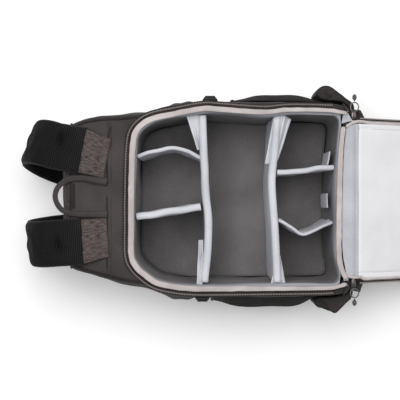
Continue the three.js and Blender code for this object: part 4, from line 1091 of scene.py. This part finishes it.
outer_ring = flap_edge(-0.0003)
outer_path = on_flap(outer_ring[:, 0], outer_ring[:, 1], 0.0)
open_part = outer_ring[:, 0] > 0.0075
first = np.flatnonzero(open_part & ~np.roll(open_part, 1))[0]
outer_path = np.roll(outer_path, -first, 0)[: open_part.sum()]
away = np.cross(np.gradient(outer_path, axis=0), flap_up)
away /= np.linalg.norm(away, axis=1, keepdims=True)
low_n = -flap_thickness / 2
tape_section = closed_section([(0.0, low_n), (0.004, low_n), (0.004, low_n + 0.0014), (0.0, low_n + 0.0014)],
                              0.0004, 0.002)
tape_grid = carried(outer_path, away, tape_section, flap_up)
flap_tape = skin("flap_zip_tape_strip", tape_grid, around=True, caps=True)
dress(flap_tape, tape_nylon, ["flap_zip_tape"])
stitch_row("flap_zip_coil", outer_path + away * 0.0031 + flap_up * (low_n + 0.0020), coil_nylon,
           pitch=0.0019, length=0.0026, radius=0.0007, crosswise=True, up_way=tuple(flap_up))
seam = flap_edge(lining_inset + 0.0075)
seam = seam[seam[:, 0] > 0.03]
start = np.argmax(np.linalg.norm(np.roll(seam, -1, 0) - seam, axis=1)) + 1
seam = np.roll(seam, -start, 0)
stitch_row("flap_lining_stitches", on_flap(seam[:, 0], seam[:, 1], 0.0014), pale_thread,
           pitch=0.0042, up_way=tuple(flap_up))

base_side = rim_path[rim_path[:, 0] > 0.10]
order = np.argsort(base_side[:, 1])
gusset_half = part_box("hinge_gusset")[1].y
hinge_lining = lining_finish("hinge_lining", (0.40, 0.41, 0.44), (0.53, 0.54, 0.58), 0.03)
gusset_y = np.linspace(-gusset_half - 0.0055, gusset_half + 0.0015, 110)
start_x = np.interp(gusset_y, base_side[order, 1], base_side[order, 0]) + 0.0009
bend = on_flap(0.0, 0.0, 0.0020)
lap = on_flap(0.0060, 0.0, 0.0006)
t = np.linspace(0, 1, 26)[:, None]
flat_x = start_x[None] + (base_end - 0.003 - start_x[None]) * t
flat_z = np.full_like(flat_x, rear_z + 0.0021)
t2 = np.linspace(0, 1, 12)[1:, None]
turn_x = (base_end - 0.003) + (bend[0] - base_end + 0.003) * t2 + 0 * gusset_y[None]
turn_z = (rear_z + 0.0021) + (bend[2] - rear_z - 0.0021) * t2 + 0 * gusset_y[None]
t3 = np.linspace(0, 1, 7)[1:, None]
lap_x = bend[0] + (lap[0] - bend[0]) * t3 + 0 * gusset_y[None]
lap_z = bend[2] + (lap[2] - bend[2]) * t3 + 0 * gusset_y[None]
gusset_x = np.vstack([flat_x, turn_x, lap_x])
gusset_z = np.vstack([flat_z, turn_z, lap_z])
gusset_yy = np.repeat(gusset_y[None], len(gusset_x), 0)
gusset_z = gusset_z + 0.0012 * np.exp(-((gusset_x - 0.1855) / 0.0016) ** 2)
gusset_z -= 0.0022 * np.exp(-((gusset_x - 0.1808) / 0.0014) ** 2)
gusset_z += np.clip(1 - np.abs(gusset_x - 0.172) / 0.008, 0, 1) * (
    0.0008 + ripples(gusset_x, gusset_yy, 0.0006, 0.03, 51))
gusset = skin("hinge_gusset_cloth", np.stack([gusset_x, gusset_yy, gusset_z], -1), facing=(0.17, 0, -2))
dress(gusset, hinge_lining, ["hinge_gusset"], 0.0014)

# Corner cloths
# At each end of the hinge a pleated scrap of body nylon closes the corner between the base, the
# side and the back panel, with a crumpled tab of grey lining where the rim's two tapes part.
pleats = [
    (0.35, 0.5, 80, 0.6, 0.10, 0.0026),
    (0.62, 0.5, 95, 0.6, 0.08, -0.0020),
    (0.8, 0.4, 100, 0.5, 0.08, 0.0022),
]
for which, corners in (
    ("left", [[0.1690, 0.1400, 0.1760], [0.1950, 0.1400, 0.1600], [0.2030, 0.1262, 0.1560],
              [0.1790, 0.1222, 0.1765]]),
    ("right", [[0.1700, -0.1270, 0.1768], [0.2010, -0.1265, 0.1600], [0.1950, -0.1480, 0.1540],
               [0.1700, -0.1400, 0.1760]]),
):
    corner = skin(f"{which}_corner_cloth", patch(corners, 26, 22, pleats, 161, 0.0007), facing=(0.18, 0, -1))
    dress(corner, nylon, thickness=0.0016)
crumple = [
    (0.3, 0.4, 60, 0.5, 0.12, 0.0020),
    (0.6, 0.6, 110, 0.5, 0.12, -0.0016),
    (0.8, 0.3, 80, 0.4, 0.10, 0.0018),
]
for which, corners in (
    ("left", [[0.1655, 0.1350, 0.1800], [0.1705, 0.1352, 0.1800], [0.1795, 0.1215, 0.1796],
              [0.1625, 0.1170, 0.1800]]),
    ("right", [[0.1630, -0.1150, 0.1800], [0.1730, -0.1155, 0.1800], [0.1725, -0.1270, 0.1800],
               [0.1665, -0.1275, 0.1800]]),
):
    tab = skin(f"{which}_corner_lining", patch(corners, 22, 22, crumple, 167, 0.0006), facing=(0.17, 0, -1))
    dress(tab, hinge_lining, thickness=0.0010)

# Shoulder straps
# Each strap starts as a heathered root sewn into the yoke's seam and goes on as a padded strap
# in black air mesh with bound edges. It loops past the top end and back under it.
def mesh_finish(name, dark, light, pitch, pale_end=None):
    """Spacer mesh: three cosines sixty degrees apart along the cloth give rows of round knots.
    Where pale_end is given, the knots fade with the distance along the cloth."""
    made, shader = new_finish(name, dark, 0.9, 0.01)
    shader.inputs["Specular IOR Level"].default_value = 0.12
    u, v = cloth_axes(made)
    turn = 2 * math.pi / pitch
    waves = None
    for angle in (0, 60, 120):
        c, s = math.cos(math.radians(angle)) * turn, math.sin(math.radians(angle)) * turn
        reach = calc(made, "ADD", calc(made, "MULTIPLY", u, c), calc(made, "MULTIPLY", v, s))
        wave = calc(made, "COSINE", reach)
        waves = wave if waves is None else calc(made, "ADD", waves, wave)
    knots = spread(made, waves, -0.6, 2.4)
    slow = speckle(made, 26, 3)
    tone = calc(made, "MULTIPLY", knots, calc(made, "ADD", calc(made, "MULTIPLY", slow, 0.9), 0.25))
    if pale_end is not None:
        fade = calc(made, "ADD", calc(made, "MULTIPLY", spread(made, u, pale_end, 0.0), 0.72), 0.28)
        tone = calc(made, "MULTIPLY", tone, fade)
    made.node_tree.links.new(blend_colours(made, tone, dark, light), shader.inputs["Base Color"])
    raise_surface(made, shader, knots, 0.0006)
    return made


air_mesh = mesh_finish("air_mesh", (0.0050, 0.0048, 0.0050), (0.060, 0.056, 0.058), 0.0030, 0.075)
edge_nylon = woven_finish("edge_nylon", (0.006, 0.0055, 0.0055), (0.018, 0.016, 0.016), 0.0010, 0.0001)
strap_width, strap_thickness = 0.069, 0.013
strap_root_x, strap_root_length = -0.202, 0.037
loop_start_x, loop_reach, strap_return = -0.283, 0.050, 0.040
web_width = 0.020
strap_rows = {
    "left": dict(side=1, across=0.067, splay=0.19, slant=0.33),
    "right": dict(side=-1, across=0.0645, splay=0.06, slant=0.10),
}


def strap_route(side, across, splay, slant):
    """Middle line of a strap and its width direction: out over the yoke, half a turn, then back."""
    axis = np.array([math.sin(slant), side * math.cos(slant), 0])
    outward = np.array([-math.cos(slant), side * math.sin(slant), 0])
    drift = math.tan(math.atan(splay) - slant)
    floor_z = strap_thickness / 2 + 0.0026
    x = np.linspace(strap_root_x, loop_start_x, 9)[:-1]
    y = side * (across + splay * (strap_root_x - x))
    uphill = np.maximum(x + splay * strap_width / 2 + strap_thickness / 2, crown_seam)
    points = [np.stack([x, y, rear_at(uphill) + floor_z], -1)]
    wides = [np.repeat([[splay, side, 0.0]], 8, 0)]
    start = np.array([loop_start_x, side * (across + splay * (strap_root_x - loop_start_x)),
                      points[0][-1, 2] - 0.002])
    turn = np.linspace(0, math.pi, 15)[:, None]
    rise = (1 - np.cos(turn)) / 2
    loop = start + outward * loop_reach * np.sin(turn) + axis * drift * (start[2] - floor_z) * rise
    loop[:, 2] = start[2] + (floor_z - start[2]) * rise[:, 0]
    points.append(loop)
    wides.append(np.repeat([axis], 15, 0))
    back = np.array([math.cos(slant), -side * math.sin(slant), 0]) + axis * drift
    back /= np.linalg.norm(back)
    points.append(loop[-1] + back * strap_return * np.array([1, 2, 3])[:, None] / 3)
    wides.append(np.repeat([[-back[1] * side, back[0] * side, 0]], 3, 0))
    return np.vstack(points), np.vstack(wides), back


def padded_ribbon(path, wides, widths, thickness, seed, folds=(), soft=0.0008, thinness=1.0, taper=0.0):
    """Flat pad along a path: at each share w of its half width the half thickness is flat plus
    the rest times (1 - w to the power fullness) to the half, so its edges are thin. thinness
    scales it about its under face, and taper is the share lost from its outer half width."""
    fullness, flat = 3.2, 0.34
    along = np.gradient(path, axis=0)
    along /= np.linalg.norm(along, axis=1, keepdims=True)
    wide = wides - along * (wides * along).sum(1, keepdims=True)
    wide /= np.linalg.norm(wide, axis=1, keepdims=True)
    thick = np.cross(along, wide)
    if thick[0, 2] < 0:
        thick = -thick
    w = np.sin(np.linspace(-math.pi / 2, math.pi / 2, 31))
    half = thickness / 2 * (flat + (1 - flat) * np.sqrt(np.maximum(1 - np.abs(w) ** fullness, 0)))
    ring_w = np.concatenate([w, w[::-1]])
    ring_h = np.concatenate([half, -half[::-1]])
    thin = np.broadcast_to(np.asarray(thinness, float), (len(path),))[:, None]
    reach = np.broadcast_to(np.asarray(widths, float), (len(path),))[:, None] / 2
    lost = np.broadcast_to(np.asarray(taper, float), (len(path),))[:, None]
    u = np.concatenate([[0], np.cumsum(np.linalg.norm(np.diff(path, axis=0), axis=1))])[:, None]
    v = ring_w[None] * reach * (1 - lost * (ring_w[None] > 0))
    face = np.sign(ring_h)[None]
    inner = np.clip((1 - np.abs(ring_w)) / 0.12, 0, 1)[None]
    lift = (ripples(u, v, soft, 0.035, seed) + creases(u, v, folds) * (face > 0)) * inner
    height = ring_h[None] * thin + face * lift * thin - thickness / 2 * (1 - thin)
    grid = path[:, None] + wide[:, None] * v[..., None] + thick[:, None] * height[..., None]
    edges = [path + wide * side * reach * 0.985 * (1 - loss) - thick * thickness / 2 * (1 - thin)
             for side, loss in ((1, lost), (-1, 0))]
    return grid, edges


for which, row in strap_rows.items():
    route, widths_way, back = strap_route(**row)
    joined_route = even_curve(np.hstack([route, widths_way]), 170)
    middle, ways = joined_route[:, :3], joined_route[:, 3:]
    root_end = strap_root_x - strap_root_length
    split = int(np.argmax(middle[:, 0] < root_end))
    from_seam = np.linalg.norm(middle[: split + 1] - middle[0], axis=1)
    rise = np.clip(from_seam / 0.030, 0, 1)
    thinness = 0.16 + 0.84 * rise**2 * (3 - 2 * rise)
    taper = 0.24 * (1 - np.clip(from_seam / 0.037, 0, 1)) ** 0.8
    root_grid, root_edges = padded_ribbon(middle[: split + 1], ways[: split + 1], strap_width,
                                          strap_thickness, 101, soft=0.0010, thinness=thinness, taper=taper)
    root = skin(f"{which}_strap_root_cloth", root_grid, around=True, caps=True)
    dress(root, heather, [f"{which}_strap_root"])
    pad_middle, pad_ways = middle[split:], ways[split:]
    pad_rows = len(pad_middle)
    pad_width = strap_width * np.interp(np.arange(pad_rows), [0, pad_rows - 18, pad_rows], [1, 1, 0.62])
    folds = {
        "left": [(0.037, 0.009, 84, 0.016, 0.0052, -0.0090), (0.046, 0.008, 88, 0.020, 0.008, 0.0030),
                 (0.062, -0.012, 100, 0.014, 0.006, -0.0022),
                 (0.085, 0.0, 90, 0.03, 0.007, 0.0016), (0.115, 0.005, 85, 0.03, 0.008, -0.0018)],
        "right": [(0.038, 0.004, 94, 0.015, 0.0052, -0.0090), (0.047, 0.004, 90, 0.018, 0.008, 0.0028),
                  (0.060, -0.010, 80, 0.02, 0.006, -0.0018),
                  (0.085, 0.0, 92, 0.03, 0.007, 0.0014), (0.115, 0.0, 88, 0.03, 0.008, -0.0018)],
    }[which]
    pad_grid, pad_edges = padded_ribbon(pad_middle, pad_ways, pad_width, strap_thickness, 107, folds, 0.0009)
    pad = skin(f"{which}_shoulder_pad_mesh", pad_grid, around=True, caps=True)
    dress(pad, air_mesh, [f"{which}_shoulder_pad"])
    for number, edge in enumerate(pad_edges):
        rod(f"{which}_pad_binding_{number}", edge, 0.0027, edge_nylon, squash=1.15)
    for number, edge in enumerate(root_edges):
        rod(f"{which}_root_edge_{number}", edge[4:], 0.0012, edge_nylon)

    # Flat webbing from the pad's end along the floor to the base corner.
    floor_z = 0.0013
    first = pad_middle[-1] + back * 0.0009
    lead = [[*(first + back * web_width * share)[:2], floor_z] for share in (0, 0.5, 1)]
    out_rows = np.array([[.155, .55], [.166, .70], [.179, .84], [.214, .97], [.272, .995], [.382, .995],
                         [.603, .995], [.800, .995], [.934, 1.0]])
    place = top_end + out_rows[:, 0] * body_length
    run = np.stack([place, row["side"] * out_rows[:, 1] * wide_at(place), np.full(len(place), floor_z)], -1)
    web_path = even_curve(np.vstack([lead, run]), 200)
    sideways = np.cross(np.gradient(web_path, axis=0), [0, 0, 1.0])
    sideways /= np.linalg.norm(sideways, axis=1, keepdims=True)
    half = web_width / 2
    w = closed_section([(-half, -0.001), (half, -0.001), (half, 0.001), (-half, 0.001)], 0.0007, 0.004)
    web = skin(f"{which}_strap_webbing_weave", carried(web_path, sideways, w), around=True, caps=True)
    dress(web, edge_nylon, [f"{which}_strap_webbing"])

# Haul handle
# A strip of the yoke's nylon rolled round a soft core and sewn into the yoke's seam at both
# ends. It lies on the crown in a flattened loop.
handle_rows = np.array([[0.00, 0.42], [0.22, 0.47], [0.50, 0.53], [0.73, 0.49], [0.92, 0.34], [1.00, 0.12],
                        [0.97, -0.11], [0.84, -0.31], [0.60, -0.39], [0.30, -0.40], [0.00, -0.39]])
handle_x = strap_root_x - handle_rows[:, 0] * 0.082
handle_z = rear_at(np.maximum(handle_x, crown_seam)) + 0.0046
handle_path = even_curve(np.stack([handle_x, handle_rows[:, 1] * 0.062, handle_z], -1), 130)
handle_radius = np.interp(np.linspace(0, 1, 130), [0, 0.22, 0.40, 0.70, 0.85, 1],
                          [0.0062, 0.0054, 0.0042, 0.0042, 0.0048, 0.0054])
rod("haul_handle_roll", handle_path, handle_radius, yoke_nylon, ["haul_handle"], sides=18,
    squash=0.80)
inner_line = handle_path.copy()
inner_line[:, 2] += 0.0040
stitch_row("handle_stitches", inner_line, thread, pitch=0.004)

# Short zip on the crown
# A coil zip of a few centimetres closes a small pocket in the crown, just behind the handle.
zip_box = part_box("crown_zip")
y = np.linspace(zip_box[0].y, zip_box[1].y, 40)
mid_x = (zip_box[0].x + zip_box[1].x) / 2
crown_path = np.stack([np.full(40, mid_x), y, rear_at(np.full(40, mid_x)) + 0.0004], -1)
crown_out = np.repeat([[1.0, 0, 0]], 40, 0)
strip = closed_section([(-0.0025, 0), (0.0025, 0), (0.0025, 0.0014), (-0.0025, 0.0014)], 0.0005, 0.002)
crown_tape = skin("crown_zip_tape", carried(crown_path, crown_out, strip), around=True, caps=True)
dress(crown_tape, tape_nylon, ["crown_zip"])
stitch_row("crown_zip_coil", crown_path + [0, 0, 0.0020], thread, pitch=0.0019,
           length=0.0026, radius=0.0006, crosswise=True)

# Side pockets and side straps
# A stretch mesh pocket bulges from each side, open to the top end with an elastic edge. Near its
# mouth a webbing strap runs down the side from a thick sewn head with a buckle bar.
def side_half_width(x, z):
    wide, under, rear = wide_at(x), under_at(x), rear_at(x)
    middle = (under + rear) / 2
    low_t = np.clip((z - under - lower_radius) / (middle - under - lower_radius), 0, 1)
    high_t = np.clip((z - middle) / (rear - rear_radius - middle), 0, 1)
    return np.where(z < middle, wide - 0.002 * (1 - low_t), wide - side_lean * high_t)


pocket_swell = {
    "left": np.array([[0.00, 0.12], [0.14, 0.40], [0.28, 0.82], [0.42, 1.00], [0.62, 1.00], [0.84, 0.75],
                      [0.95, 0.35], [1.00, 0.00]]),
    "right": np.array([[0.00, 0.45], [0.08, 0.62], [0.19, 0.88], [0.31, 0.96], [0.42, 1.00], [0.62, 1.02],
                       [0.84, 0.85], [0.95, 0.35], [1.00, 0.00]]),
}
pocket_mesh = mesh_finish("pocket_mesh", (0.0075, 0.0068, 0.0064), (0.034, 0.031, 0.029), 0.0018)
hard_nylon, hard_shader = new_finish("moulded_buckle", (0.020, 0.019, 0.019), 0.38)
raise_surface(hard_nylon, hard_shader, speckle(hard_nylon, 1800, 2), 0.0001)
for side, which, mouth, foot, tab_x, full in (
    (1, "left", -0.006, 0.138, -0.042, 0.011), (-1, "right", -0.038, 0.132, -0.054, 0.0170),
):
    s = np.linspace(0, 1, 60)[:, None]
    t = np.linspace(0, 1, 44)[None, :]
    x = mouth + (foot - mouth) * s + 0 * t
    z = 0.024 + 0.126 * t + 0 * s
    swell = smooth_through(np.broadcast_to(s, x.shape), *pocket_swell[which].T)
    bulge = full * swell * np.sin(math.pi * t)
    bulge = bulge + ripples(x, z, 0.0010, 0.05, 131) * np.sin(math.pi * t) * swell
    y = side_half_width(x, z) + 0.0008 + bulge + 0.0019
    pocket = skin(f"{which}_side_pocket_mesh", np.stack([x, side * y, z], -1), facing=(0, 0, 0.09))
    dress(pocket, pocket_mesh, [f"{which}_side_pocket"], 0.0016)
    mouth_line = np.stack([x[0], side * (y[0] - 0.0006), z[0]], -1)
    rod(f"{which}_pocket_elastic", mouth_line, 0.0024, edge_nylon)

    tab_z = np.array([0.168, 0.158, 0.150, 0.142, 0.1368, 0.120, 0.089, 0.064])
    thick = np.array([0.0042, 0.0066, 0.0086, 0.0082, 0.0040, 0.0034, 0.0032, 0.0030])
    z = np.linspace(0.168, 0.064, 60)
    depth = np.interp(z[::-1], tab_z[::-1], thick[::-1])[::-1]
    w = closed_section([(-1, 0), (1, 0), (1, 1), (-1, 1)], 0.25, 0.3)
    half = 0.012 * (1 - 0.22 * np.clip((depth - 0.004) / 0.005, 0, 1))
    inner_y = np.maximum(side_half_width(np.full(60, tab_x - 0.012), z),
                         side_half_width(np.full(60, tab_x + 0.012), z)) + 0.0008
    tab_grid = np.stack([
        tab_x + w[None, :, 0] * (0.012 + (half[:, None] - 0.012) * w[None, :, 1]),
        side * (inner_y[:, None] + w[None, :, 1] * depth[:, None]),
        z[:, None] + 0 * w[None, :, 0],
    ], -1)
    tab = skin(f"{which}_side_tab_webbing", tab_grid, around=True, caps=True)
    dress(tab, edge_nylon, [f"{which}_side_tab"])
    bar_x = np.linspace(tab_x - 0.008, tab_x + 0.008, 24)
    bar = np.stack([bar_x, np.full(24, side * (inner_y[8] + 0.0088)), np.full(24, 0.1555)], -1)
    rod(f"{which}_side_tab_bar", bar, 0.0013, hard_nylon)

# Hip belt pads
# Two padded wings of the hip belt are folded forward round the base corners and lie pressed to
# the sides. Their stretch cloth is creased where they bend, and a nylon edge runs round each.
belt_outer = {
    "left": [[.740, 1.085], [.765, 1.112], [.800, 1.142], [.841, 1.150], [.885, 1.135], [.947, 1.088],
             [1.012, 1.030]],
    "right": [[.729, 1.095], [.765, 1.103], [.800, 1.112], [.841, 1.130], [.894, 1.150], [.930, 1.160],
              [1.012, 1.072]],
}
belt_corner = {"left": [1.095, 0.955], "right": [1.078, 0.990]}
belt_foot, belt_tall, belt_tail = 0.0745, 0.075, 0.014
# Folds of the upper face, seen in plan with the outward direction positive.
belt_folds = {
    "left": [(0.1475, 0.159, 36, 0.018, 0.0034, -0.0036), (0.1455, 0.163, -50, 0.011, 0.0030, -0.0030),
             (0.138, 0.170, 60, 0.012, 0.008, 0.0020), (0.165, 0.158, 140, 0.02, 0.008, 0.0016)],
    "right": [(0.1500, 0.166, 50, 0.030, 0.0040, 0.0024), (0.165, 0.158, 120, 0.02, 0.005, -0.0018)],
}
belt_cloth = woven_finish("belt_cloth", (0.024, 0.020, 0.019), (0.056, 0.049, 0.047), 0.0014, 0.00014)
corner_in = float(wide_at(base_end)) + 0.0008
for side, which in ((1, "left"), (-1, "right")):
    outer = np.array(belt_outer[which] + [belt_corner[which]]) * [half_length, half_width]
    pocket_top = {1: 0.0120, -1: 0.0140}[side]
    pocket_end = {1: 0.138, -1: 0.132}[side]
    inner_y = wide_at(outer[:-1, 0]) + 0.0018
    inner_y += pocket_top * np.clip((pocket_end - outer[:-1, 0]) / 0.020, 0, 1)
    back_x = base_end + 0.0006
    outer = np.vstack([outer, [outer[-1, 0], corner_in - belt_tail]])
    beside_body = np.stack([outer[:-2, 0], inner_y], -1)
    inner = np.vstack([beside_body, [back_x, corner_in], [back_x, corner_in - belt_tail]])
    both = even_curve(np.hstack([outer, inner]), 120)
    outer, inner = both[:, :2], both[:, 2:]
    run = np.concatenate([[0], np.cumsum(np.linalg.norm(np.diff(outer, axis=0), axis=1))])[:, None]
    ring = closed_section([(0, 0), (1, 0), (1, 1), (0, 1)], 0.10, 0.05)
    thickness = np.linalg.norm(outer - inner, axis=1, keepdims=True)
    away = (outer - inner) / thickness
    rounded = np.sqrt(np.maximum(1 - np.clip(1 - run / 0.009, 0, 1) ** 2, 0.03))
    across, up = ring[None, :, 0], ring[None, :, 1]
    roll = -0.0040 * (1 - np.clip(np.minimum(up, 1 - up) / 0.12, 0, 1)) ** 2
    on_face = np.clip((across - 0.6) / 0.4, 0, 1)
    swell = (ripples(run, up * belt_tall, 0.0006, 0.04, 151) + roll) * on_face
    reach = (across * thickness + swell) * rounded
    plan = inner[:, None] + away[:, None] * reach[..., None]
    on_top = np.clip(up * 5 - 4, 0, 1)
    z = belt_foot + belt_tall * up
    top_folds = creases(plan[..., 0], plan[..., 1], belt_folds[which])
    z = z + (top_folds + ripples(run, across, 0.0006, 0.04, 153)) * on_top
    if which == "right":
        # The pad's upper face steps down past a fold that runs 50 degrees from the bag's length.
        fold_start, fold_turn = (0.1315, 0.1525), math.radians(50)
        past_fold = ((plan[..., 1] - fold_start[1]) * math.cos(fold_turn)
                     - (plan[..., 0] - fold_start[0]) * math.sin(fold_turn))
        step_down, step_width = 0.006, 0.002
        z -= step_down * np.clip(past_fold / step_width, 0, 1) * on_top
    belt_grid = np.concatenate([plan * [1, side], z[..., None]], -1)
    belt = skin(f"{which}_belt_pad_cloth", belt_grid, around=True, caps=True)
    dress(belt, belt_cloth, [f"{which}_belt_pad"])
    for number, share in enumerate((0.035, 0.965)):
        column = np.argmin(np.abs(ring[:, 1] - share) + np.abs(ring[:, 0] - 1))
        rod(f"{which}_belt_binding_{number}", belt_grid[2:-2, column], 0.0011, edge_nylon)

# Zip sliders, pull rings and beads
# Two gunmetal sliders have stopped at the base corners. Each has a wire ring and a moulded bead
# on a short cord as its pull.
gunmetal, gun_shader = new_finish("gunmetal", (0.15, 0.135, 0.13), 0.34, metallic=0.9)
raise_surface(gunmetal, gun_shader, speckle(gunmetal, 700, 3), 0.00008)
bead_plastic, bead_shader = new_finish("bead_plastic", (0.085, 0.078, 0.078), 0.4)
raise_surface(bead_plastic, bead_shader, speckle(bead_plastic, 1500, 2), 0.00005)
pull_shift = 0.004
wire, bead_round, bead_half = 0.0010, 0.0034, 0.0050
for side, which in ((1, "left"), (-1, "right")):
    low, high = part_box(f"{which}_zip_slider")
    middle_x, length = (low.x + high.x) / 2 + pull_shift, high.y - low.y
    y0 = low.y if side > 0 else high.y
    s = np.linspace(0, 1, 24)
    wide = 0.0045 * smooth_through(s, np.array([0, .3, .75, 1]), np.array([.55, 1, 1, .7]))
    tall = 0.0048 * smooth_through(s, np.array([0, .3, .75, 1]), np.array([.85, 1, .9, .55]))
    w = closed_section([(-1, 0), (1, 0), (0.72, 1), (-0.72, 1)], 0.35, 0.5)
    body_grid = np.stack([middle_x + w[None, :, 0] * wide[:, None],
                          y0 + side * length * s[:, None] + 0 * w[None, :, 0],
                          low.z + w[None, :, 1] * tall[:, None]], -1)
    slider = skin(f"{which}_slider_body", body_grid, around=True, caps=True)
    dress(slider, gunmetal, [f"{which}_zip_slider"])
    arch = np.linspace(0, math.pi, 22)
    bridge = np.stack([np.full(22, middle_x), (low.y + high.y) / 2 - side * 0.0045 * np.cos(arch),
                       low.z + 0.0040 + 0.0022 * np.sin(arch)], -1)
    rod(f"{which}_slider_bridge", bridge, 0.0009, gunmetal)
    low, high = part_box(f"{which}_pull_ring")
    centre = np.array([(low.x + high.x) / 2 + pull_shift, (low.y + high.y) / 2, (low.z + high.z) / 2])
    centre[1] -= pull_shift if side > 0 else 0
    a = np.linspace(0, 2 * math.pi, 56, endpoint=False)
    ring = centre + np.stack([0.0064 * np.cos(a), 0.0070 * np.sin(a), 0 * a], -1)
    rod(f"{which}_pull_wire", ring, wire, gunmetal, [f"{which}_pull_ring"], closed=True)
    bead_y = centre[1] + side * 0.015
    polar = np.linspace(0.12, math.pi - 0.12, 18)[:, None]
    round_ = np.linspace(0, 2 * math.pi, 28, endpoint=False)[None]
    bead_grid = np.stack([centre[0] + bead_round * np.sin(polar) * np.cos(round_),
                          bead_y + bead_half * np.cos(polar) + 0 * round_,
                          centre[2] + bead_round * np.sin(polar) * np.sin(round_)], -1)
    bead = skin(f"{which}_bead", bead_grid, around=True, caps=True)
    dress(bead, bead_plastic, [f"{which}_pull_bead"])
    cord_y = np.linspace(centre[1] + side * 0.0090, bead_y - side * 0.002, 12)
    cord = np.stack([np.full(12, centre[0]), cord_y, np.full(12, centre[2])], -1)
    rod(f"{which}_bead_cord", cord, wire, thread)
